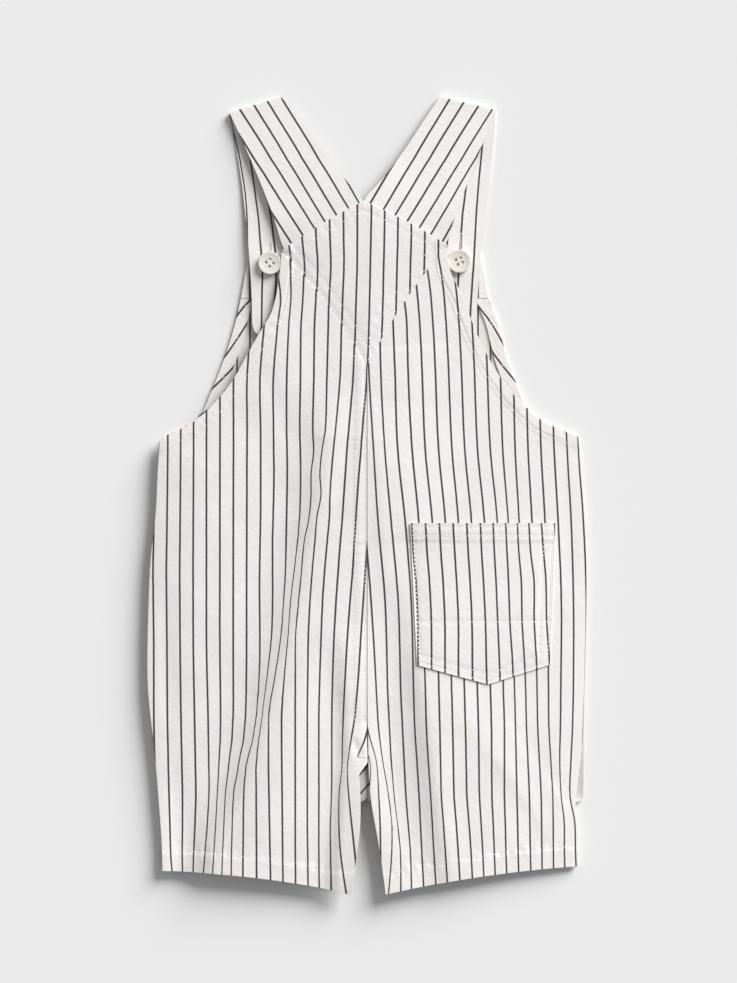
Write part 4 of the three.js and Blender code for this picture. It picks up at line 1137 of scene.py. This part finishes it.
def pocketSeam(distance, left, right):
    return insetPocket(left, right, pocket["rowInset"], distance * 1.02, distance * 1.04)


def pocketRow(inset, y):
    return densify([(pocket["left"] + inset, y), (pocket["right"] - inset, y)])


halfShares, downShares = (evenShares(length, pocket["gridStep"]) for length in pocket["edgeLengths"])
pocketX, pocketY = pocketGrid(np.concatenate([halfShares[:-1] / 2, 0.5 + halfShares / 2]), downShares)
pocketEdge = insetPocket(0, 0, 0, 0, 0)
pocketStitch = [
    pocketSeam(pocket["edgeStitch"], pocket["edgeStitch"], pocket["edgeStitch"]),
    pocketSeam(pocket["innerStitch"], pocket["innerLeft"], pocket["innerRight"]),
    pocketRow(pocket["rowInset"], pocket["top"] - pocket["mouthStitch"]),
    pocketRow(pocket["rowInset"], pocket["top"] - pocket["brimStitch"]),
    pocketRow(pocket["tackInset"], pocket["tackRow"]),
]


def pocketTop(x, y):
    fromEdge = nearestOn(pocketEdge, x, y)[0]
    full = 1 - np.exp(-np.maximum(fromEdge - pocket["flatEdge"], 0) / pocket["fullRun"])
    top = backTop(x, y) + pocket["lift"] + pocket["fullness"] * full
    top += pocket["foldRise"] * band(pocket["top"] - y, pocket["mouthFold"], 1.2)
    for number, line in enumerate(pocketStitch):
        top = top + stitchDip(line, x, y, 9.0 + number, depth=0.22, pucker=0.05)
    return top


pocketPiece = clothShell(
    "pocket", pocketX, pocketY, pocketTop(pocketX, pocketY),
    stripesAcross(pocketStripes, pocketX, pocketY), pocketY / cloth["stripePitch"],
)
finishCloth(
    pocketPiece, ["back_pocket"], outerTwill)
print("pocket made")

# The hems folded in round the bib: one across the top and one along each armhole
bibHem = {
    "top": 157.5,
    "width": 156.0,
    "depth": 30.0,
    "inset": 0.4,
    "wave": 0.1,
    "waveRun": 5.0,
    "armholeWidth": 8.0,
    "armholeStitch": 4.4,
    "stitchEnd": 0.38,      # share of the front's rows at which the fold's stitches end
    # photo heights where the folds' slanting stripes meet the outer and the inner edge
    "outerEnds": {"left": (283, 317.2, 357.8, 389.4, 416.7, 440), "right": (300, 344.4, 382.2, 412, 435)},
    "innerEnds": {"left": (275, 297.8, 322.2, 366.7, 401, 425), "right": (270, 306.7, 352.2, 390, 420)},
}


def bibHemGrid(u, v):
    down = {s: v * sectionOf["bibHem"] / (len(frontRows[s]) - 1) for s in sides}
    left, right = (edgeAt(frontRows[s], "outer", down[s]) for s in sides)
    a, b = left[:, :1] + bibHem["inset"], right[:, :1] - bibHem["inset"]
    y = np.repeat((bibHem["top"] - bibHem["depth"] * v)[:, None], len(u), axis=1)
    return a + (b - a) * u, y


hemX, hemY = bibHemGrid(evenShares(bibHem["width"], 2.5), evenShares(bibHem["depth"], 2.0))
hemBase = inside["top"] + cloth["wall"] + cloth["layerGap"]
bibHemPiece = clothShell(
    "bib_top_hem", hemX, hemY, hemBase + bibHem["wave"] * np.sin(hemX / bibHem["waveRun"]),
    insideStripes(hemX), hemY / cloth["stripePitch"],
)
finishCloth(
    bibHemPiece, ["bib_hem"],
    outerTwill,
)


def armholeHem(side):
    rows = frontRows[side]
    edge = edgePart(rows, "outer", sectionOf["bibHem"], sectionOf["underarmFront"] - 0.2, 70)
    across = offsetLine(edge, inward[side]) - edge
    width = bibHem["armholeWidth"]
    off = bibHem["inset"] + (width - bibHem["inset"]) * evenShares(width, 1.0, (0, 0.3))
    x = edge[:, :1] + across[:, :1] * off
    y = edge[:, 1:] + across[:, 1:] * off
    y[0] = edge[0, 1] - cloth["seamGap"]
    _, py = toPixels(x, y)
    outerEnd, innerEnd = bibHem["outerEnds"][side], bibHem["innerEnds"][side]
    atOuter = np.interp(py[:, :1], outerEnd, range(len(outerEnd)))
    atInner = np.interp(py[:, -1:], innerEnd, range(len(innerEnd)))
    share = off / off[-1]
    obj = clothShell(
        "armhole_fold_" + side, x, y, frontLevel(x, y) + hemBase,
        atOuter * (1 - share) + atInner * share, (x + y) / cloth["stripePitch"],
    )
    finishCloth(
        obj, ["armhole_hem_" + side], outerTwill)
    return obj


def armholeFoldStitch(side):
    rows = frontRows[side]
    line = edgePart(rows, "outer", sectionOf["bibHem"], bibHem["stitchEnd"] * (len(rows) - 1), 60)
    return offsetLine(line, inward[side] * bibHem["armholeStitch"])


armholeFolds = {side: armholeHem(side) for side in sides}
print("bib hems made")

# Straps: a band from its root under the yoke, over the shoulder fold, down to its rounded tail.
# Level is the underside in the solids; rides is 1 where the strap lies at the back's own level.
strapKeys = ("innerX", "innerY", "outerX", "outerY", "level", "rides")

straps = {
    "left": {
        "back": tableRows(
            strapKeys,
            (-3.4, 184, -51.4, 156, 6, 1),
            (-2.7, 190.2, -54.6, 161, 6, 1),
            (-12.6, 202.4, -60, 178, 5.4, 0.3),
            (-20.4, 212.5, -66.5, 195.5, 4.7, 0),
            (-30.8, 226, -73.5, 212.5, 4.0, 0),
            (-43, 242, -81.8, 231.5, 3.2, 0),
            (-55.8, 258.1, -89.4, 248, 2.5, 0),
        ),
        "tail": tableRows(
            strapKeys,
            (-55.8, 258.1, -89.4, 248, 0),
            (-54.3, 238, -86.4, 232, 0),
            (-51.8, 207, -81.6, 203, 0.3),
            (-49.6, 182, -78.8, 179, 1.5),
            (-48.9, 161, -77, 160.5, 2.7),
            (-48.5, 146, -76, 146, 3.0),
            (-48.4, 126.5, -74.8, 126.5, 3.0),
            (-48.8, 110, -74.3, 110, 3.0),
            (-51, 105, -72.6, 105.4, 3.0),
            (-56, 102.4, -68.4, 102.6, 3.0),
        ),
    },
    "right": {
        "back": tableRows(
            strapKeys,
            (-1.2, 184.2, 49, 160, 6, 1),
            (-1.9, 190.2, 51.9, 164.6, 6, 1),
            (9.8, 204.5, 57.5, 182, 5.4, 0.3),
            (19.6, 217, 63.5, 198, 4.7, 0),
            (28.6, 230, 69.5, 213.5, 4.0, 0),
            (38, 244.5, 76.5, 231.5, 3.2, 0),
            (47.3, 258.2, 83.6, 249.6, 2.5, 0),
        ),
        "tail": tableRows(
            strapKeys,
            (47.3, 258.2, 83.6, 249.6, 0),
            (46.8, 240, 82.6, 233, 0),
            (47, 208, 79.4, 203, 0.3),
            (46.6, 182, 76, 179, 1.5),
            (46.2, 161, 74, 160.5, 2.7),
            (46, 146, 73, 146, 3.0),
            (45.8, 126.5, 71.6, 126.5, 3.0),
            (46, 110, 70.6, 110, 3.0),
            (48, 105, 68.8, 105.4, 3.0),
            (52, 102.4, 64.6, 102.6, 3.0),
        ),
    },
}
# The fold leans in under the top, and its wall thins from full to half there
strapFold = {"run": 0.05, "half": 0.1, "extra": 0.1, "tuck": 0.6, "tuckRun": 8}
strapMesh = {"width": 36.0, "columns": 26, "backRows": 60, "tailRows": 70, "rowStep": 1.45, "soften": 6}
foldAngles = np.linspace(0, math.pi, 11)[1:-1]


def strapRun(rows, steps):
    # rows of places on the middle of the strap's wall
    u = evenShares(strapMesh["width"], strapMesh["width"] / strapMesh["columns"])
    shares = evenShares(steps * strapMesh["rowStep"], strapMesh["rowStep"], (0.0, 0.15, 0.4, 0.9))
    inner = crLine([(row["innerX"], row["innerY"]) for row in rows], shares)
    outer = crLine([(row["outerX"], row["outerY"]) for row in rows], shares)
    place = shares * (len(rows) - 1)
    level = np.interp(place, range(len(rows)), [row["level"] for row in rows])[:, None]
    rides = np.interp(place, range(len(rows)), [row.get("rides", 0) for row in rows])[:, None]
    x, y = between(inner, outer, u)
    z = level * (1 - rides) + backLevel(x, y) * rides + cloth["layer"] / 2
    return np.stack([x, y, z], axis=-1)


def strapGrid(side):
    # the back's run, the fold and the tail's run
    back = strapRun(straps[side]["back"], strapMesh["backRows"])
    tail = strapRun(straps[side]["tail"], strapMesh["tailRows"])
    fromTop = np.linalg.norm(tail[:, :, :2] - tail[:1, :, :2], axis=-1)
    tail[:, :, 1] -= strapFold["tuck"] * np.exp(-fromTop / strapFold["tuckRun"])
    for run in (back, tail):
        # the levels change softly from section to section
        reach = strapMesh["soften"]
        padded = np.concatenate([run[:1, :, 2]] * reach + [run[:, :, 2]] + [run[-1:, :, 2]] * reach)
        run[:, :, 2] = sum(padded[k:k + len(run)] for k in range(2 * reach + 1)) / (2 * reach + 1)
    start, finish = back[-1], tail[0]
    middle, half = (start + finish) / 2, (start - finish) / 2
    fold = []
    for angle in foldAngles:
        row = middle + half * math.cos(angle)
        row[:, 0] = start[:, 0]
        row[:, 1] += strapFold["run"] * math.sin(angle)
        fold.append(row)
    return back, np.array(fold), tail


def facing(run, up):
    # unit normals of a run of the grid, up or down
    normal = unit(np.cross(np.gradient(run, axis=0), np.gradient(run, axis=1)))
    return normal if normal[0, 0, 2] * up > 0 else -normal


def strapPiece(side):
    back, fold, tail = strapGrid(side)
    grid = np.concatenate([back, fold, tail])
    rows, columns = grid.shape[:2]
    # in the fold the wall turns over, and is pressed thin
    turned = np.stack([0 * foldAngles, np.sin(foldAngles), np.cos(foldAngles)], axis=-1)
    turned = np.repeat(turned[:, None], columns, axis=1)
    normal = np.concatenate([facing(back, 1), turned, facing(tail, -1)])
    full = cloth["wall"] / 2 + strapFold["extra"]
    half = np.full((rows, 1, 1), full)
    half[len(back):len(back) + len(fold), 0, 0] += (strapFold["half"] - full) * np.sin(foldAngles)
    faces, loop = gridFaces(rows, columns)
    count = rows * columns
    rim = np.stack([loop, count + loop, count + np.roll(loop, -1), np.roll(loop, -1)], axis=1)
    # one run of stripes on the back stretch and one on the front, which change over in the fold
    x, y = grid[..., 0], grid[..., 1]
    isFront = np.arange(rows)[:, None] > len(back) + len(fold) / 2
    stripe = [stripesAcross(stripes[side], x, y) for stripes in (tailStripes, strapStripes)]
    stripe = np.where(isFront, *stripe)
    length = np.cumsum(np.linalg.norm(np.gradient(grid[:, columns // 2], axis=0), axis=1))
    uv = np.stack([stripe.ravel(), np.repeat(length / cloth["stripePitch"], columns)], axis=1)
    obj = linkCloth(
        "shoulder_strap_" + side,
        np.concatenate([(grid + normal * half).reshape(-1, 3), (grid - normal * half).reshape(-1, 3)]),
        np.concatenate([faces, faces[:, ::-1] + count, rim]), np.concatenate([uv, uv]),
    )
    selectOnly(obj)
    bpy.ops.object.mode_set(mode="EDIT")
    bpy.ops.mesh.select_all(action="SELECT")
    bpy.ops.mesh.normals_make_consistent(inside=False)
    bpy.ops.object.mode_set(mode="OBJECT")
    obj.select_set(False)
    finishCloth(
        obj, ["strap_" + side], outerTwill)
    return obj


strapPieces = {side: strapPiece(side) for side in sides}
print("straps made")

# Stitches: each is a small rounded bar of thread, all of one piece's joined in one mesh
def barsAlong(line):
    # the stitches on a line: middle, direction, length and width of each
    step = cloth["stitchLength"] + cloth["stitchGap"]
    run = runAlong(line)
    places = np.arange(step / 2, run[-1] - step / 2, step)
    at = lambda shift: [np.interp(places + shift, run, line[:, k]) for k in (0, 1)]
    (x, y), (x1, y1), (x2, y2) = at(0), at(-0.5), at(0.5)
    angles = np.arctan2(y2 - y1, x2 - x1)
    return [(px, py, a, cloth["stitchLength"], cloth["threadWidth"]) for px, py, a in zip(x, y, angles)]


# A bar's places along its half length, each with its share of the half width; the ends dip in
thread = {
    "profile": ((-0.8, 0.62), (-0.35, 0.95), (0.35, 0.95), (0.8, 0.62)),
    "around": 6,
    "sink": 0.08,
    "bow": 0.25,
    "endSink": 0.3,
}


def threadMesh(name, bars, heightAt, material):
    profile, around = thread["profile"], thread["around"]
    points, faces = [], []
    for px, py, angle, length, width in bars:
        ux, uy = length / 2 * math.cos(angle), length / 2 * math.sin(angle)
        sx, sy = width / 2 * math.sin(angle), width / 2 * math.cos(angle)
        ends = heightAt([px - ux, px, px + ux], [py - uy, py, py + uy])
        start = len(points)
        points.append((px - ux, py - uy, ends[0] - thread["endSink"]))
        for along, radius in profile:
            middle = np.interp(along, (-1, 0, 1), ends) - thread["sink"] - thread["bow"] * along * along
            for k in range(around):
                a = 2 * math.pi * k / around
                points.append((
                    px + ux * along - sx * radius * math.cos(a),
                    py + uy * along + sy * radius * math.cos(a),
                    middle + radius * width / 2 * math.sin(a),
                ))
        tip = len(points)
        points.append((px + ux, py + uy, ends[2] - thread["endSink"]))
        for k in range(around):
            after = (k + 1) % around
            faces.append((start, start + 1 + after, start + 1 + k))
            faces.append((tip, tip - around + k, tip - around + after))
            for ring in range(len(profile) - 1):
                low = start + 1 + ring * around
                faces.append((low + k, low + after, low + around + after, low + around + k))
    obj = linkMesh(name, points, faces)
    obj.data.materials.append(material)
    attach(obj, "root")


def surfaceSampler(obj):
    # the height of a finished piece's upper face under a place, from rays cast down
    bpy.context.evaluated_depsgraph_get().update()

    def height(xs, ys):
        result = []
        for px, py in zip(xs, ys):
            hit, place, _, _ = obj.ray_cast(Vector((px * mm, py * mm, 0.1)), Vector((0, 0, -1)))
            result.append(place.z / mm if hit else 5.0)
        return np.array(result)

    return height


def stitchRows(name, lines, host):
    bars = [bar for line in lines for bar in barsAlong(line)]
    threadMesh(name, bars, surfaceSampler(host), threadMaterial)


# The armholes' first points lie under the yoke, so they get no stitches
for side, centre in (("left", centreStitch), ("right", [])):
    lines = [armholeStitch[side][8:], legHemStitch[side], *centre]
    stitchRows("stitches_back_" + side, lines, backPieces[side])
stitchRows("stitches_yoke", yokeStitch, yokePiece)
stitchRows("stitches_pocket", pocketStitch, pocketPiece)
for side in sides:
    stitchRows("stitches_armhole_fold_" + side, [armholeFoldStitch(side)], armholeFolds[side])
print("stitches made")

# Buttonholes: a slit up the strap's tail, drawn as a thin bar of painted shade, with close stitches across
# both of its lips
buttonhole = {
    "left": {"x": -62.6, "top": 166.2, "bottom": 156.5},
    "right": {"x": 61.2, "top": 169.2, "bottom": 157.5},
    "lipOff": 0.8,
    "stitchLength": 1.25,
    "stitchPitch": 0.5,
    "threadWidth": 0.5,
    "endStitches": (-0.9, -0.45, 0, 0.45, 0.9),
    "endLength": 1.2,
    "slitWidth": 0.55,
}

for side in sides:
    x, top, bottom = (buttonhole[side][key] for key in ("x", "top", "bottom"))
    sampler = surfaceSampler(strapPieces[side])
    lips = [
        (x + off, py, 0.0, buttonhole["stitchLength"], buttonhole["threadWidth"])
        for py in np.arange(bottom, top, buttonhole["stitchPitch"])
        for off in (-buttonhole["lipOff"], buttonhole["lipOff"])
    ]
    ends = [
        (x + off, top + 0.2, math.pi / 2, buttonhole["endLength"], buttonhole["threadWidth"])
        for off in buttonhole["endStitches"]
    ]
    threadMesh("buttonhole_" + side, lips + ends, sampler, threadMaterial)
    # the slit is a thin dark bar of painted shade, lying in the strap's surface
    slit = (x, (top + bottom) / 2 - 0.6, math.pi / 2, top - bottom, buttonhole["slitWidth"])
    threadMesh("buttonhole_slit_shade_" + side, [slit], sampler, slitShadeMaterial)
print("buttonholes made")

# Four-hole buttons, sewn on through the strap
button = {
    "diameter": 14.8,
    "height": 2.6,
    "rim": 1.2,
    "dish": 0.22,
    "hole": 1.7,
    "holeCircle": 4.7,
    "turn": {"left": -5.5, "right": -21.0},
    "seat": 4.5,
    "places": {"left": (-63.1, 150.2), "right": (59.7, 151.3)},
    "rimWall": 0.9,
    "dishWall": 0.5,
    "dishDrop": 0.05,
    "rounding": 0.35,
    "drillDepth": 6,
    "threadBelow": (0.5, 0.4, 1.1, 0.9),    # how deep the thread lies in each hole
    "threadTurns": (40, 55, 70, 85),
    "threadLength": 1.564,
    "threadWidth": 1.36,
}


def addCylinder(vertices, diameter, depth, place):
    location = [value * mm for value in place]
    bpy.ops.mesh.primitive_cylinder_add(
        vertices=vertices, radius=diameter / 2 * mm, depth=depth * mm, location=location)
    return bpy.context.active_object


def makeButton(side):
    px, py = button["places"][side]
    middle = button["seat"] + button["height"] / 2
    obj = addCylinder(64, button["diameter"], button["height"], (px, py, middle))
    obj.name = "shirt_button_" + side
    selectOnly(obj)
    bpy.ops.object.mode_set(mode="EDIT")
    bpy.ops.mesh.select_all(action="DESELECT")
    bpy.ops.object.mode_set(mode="OBJECT")
    for face in obj.data.polygons:
        face.select = face.normal.z > 0.9
    bpy.ops.object.mode_set(mode="EDIT")
    bpy.ops.mesh.select_mode(type="FACE")
    bpy.ops.mesh.inset(thickness=button["rim"] * mm, depth=0)
    bpy.ops.mesh.inset(thickness=button["rimWall"] * mm, depth=-button["dish"] * mm)
    bpy.ops.mesh.inset(thickness=button["dishWall"] * mm, depth=-button["dishDrop"] * mm)
    bpy.ops.object.mode_set(mode="OBJECT")
    top = middle + button["height"] / 2 - button["dish"]
    holes = []
    for k in range(4):
        angle = math.radians(button["turn"][side] + 90 * k)
        hx = px + button["holeCircle"] / 2 * math.cos(angle)
        hy = py + button["holeCircle"] / 2 * math.sin(angle)
        drill = addCylinder(20, button["hole"], button["drillDepth"], (hx, hy, middle))
        selectOnly(obj)
        cut = obj.modifiers.new("hole", "BOOLEAN")
        cut.operation = "DIFFERENCE"
        cut.solver = "EXACT"
        cut.object = drill
        bpy.ops.object.modifier_apply(modifier=cut.name)
        bpy.data.objects.remove(drill)
        holes.append((hx, hy))
    rounding = obj.modifiers.new("rounding", "BEVEL")
    rounding.width = button["rounding"] * mm
    rounding.segments = 3
    rounding.limit_method = "ANGLE"
    rounding.angle_limit = math.radians(40)
    bpy.ops.object.modifier_apply(modifier=rounding.name)
    bpy.ops.object.transform_apply(location=True, rotation=True, scale=True)
    bpy.ops.object.shade_smooth_by_angle(angle=math.radians(35))
    obj.data.materials.clear()
    obj.data.materials.append(resinMaterial)
    obj.select_set(False)
    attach(obj, "root")
    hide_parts("button_" + side)
    # the sewing thread fills each hole up to a little below the dish
    for k, (hx, hy) in enumerate(holes):
        level = top - button["threadBelow"][k] - button["threadWidth"] / 2
        turn = math.radians(button["threadTurns"][k])
        threadMesh(
            "button_thread_" + side + "_" + str(k),
            [(hx, hy, turn, button["threadLength"], button["threadWidth"])],
            lambda xs, ys: np.full(len(xs), level), threadMaterial,
        )


for side in sides:
    makeButton(side)
print("buttons made")

# Floor, light and camera
studio = {
    "floor": "DDDDDD",
    "world": "FFFFFF",
    "worldStrength": 0.35,
    "keyStrength": 6.43,
    "keyElevation": 23.0,   # low, so that the thin cloth throws a wide soft shadow
    "keyBearing": 48.0,     # from the right, turning up the picture
    "keySoftness": 36.0,    # degrees across that the light fills in the sky
}
bpy.ops.mesh.primitive_plane_add(size=8, location=(0, 0, 0))
floor = bpy.context.active_object
floor.name = "floor"
floorMaterial = addShader(newMaterial("Matte paper floor"), {
    "Base Color": hexColour(studio["floor"]), "Roughness": 0.95, "Specular IOR Level": 0.0,
})
floor.data.materials.append(floorMaterial)

scene = bpy.context.scene
scene.view_settings.view_transform = "Standard"
scene.world = scene.world or bpy.data.worlds.new("studio")
scene.world.use_nodes = True
background = scene.world.node_tree.nodes.get("Background")
background.inputs[0].default_value = hexColour(studio["world"])
background.inputs[1].default_value = studio["worldStrength"]

keyData = bpy.data.lights.new("key", "SUN")
keyData.energy = studio["keyStrength"]
keyData.angle = math.radians(studio["keySoftness"])
key = bpy.data.objects.new("key", keyData)
bearing, elevation = math.radians(studio["keyBearing"]), math.radians(studio["keyElevation"])
towards = Vector((
    math.cos(bearing) * math.cos(elevation), math.sin(bearing) * math.cos(elevation), math.sin(elevation)))
key.location = 2 * towards
key.rotation_euler = (-towards).to_track_quat("-Z", "Y").to_euler()
scene.collection.objects.link(key)

view = {"width": 737, "height": 983, "distance": 2.4, "sensor": 36.0}
viewHeight = view["height"] * photo["pixel"] * mm
viewX, viewY = fromPixels(view["width"] / 2, view["height"] / 2)
cameraData = bpy.data.cameras.new("camera")
cameraData.sensor_fit = "VERTICAL"
cameraData.sensor_height = view["sensor"]
cameraData.sensor_width = view["sensor"]
cameraData.lens = view["sensor"] * view["distance"] / viewHeight
cameraData.clip_end = 20
camera = bpy.data.objects.new("camera", cameraData)
camera.location = (viewX * mm, viewY * mm, view["distance"])
scene.collection.objects.link(camera)
scene.camera = camera
print("studio made")
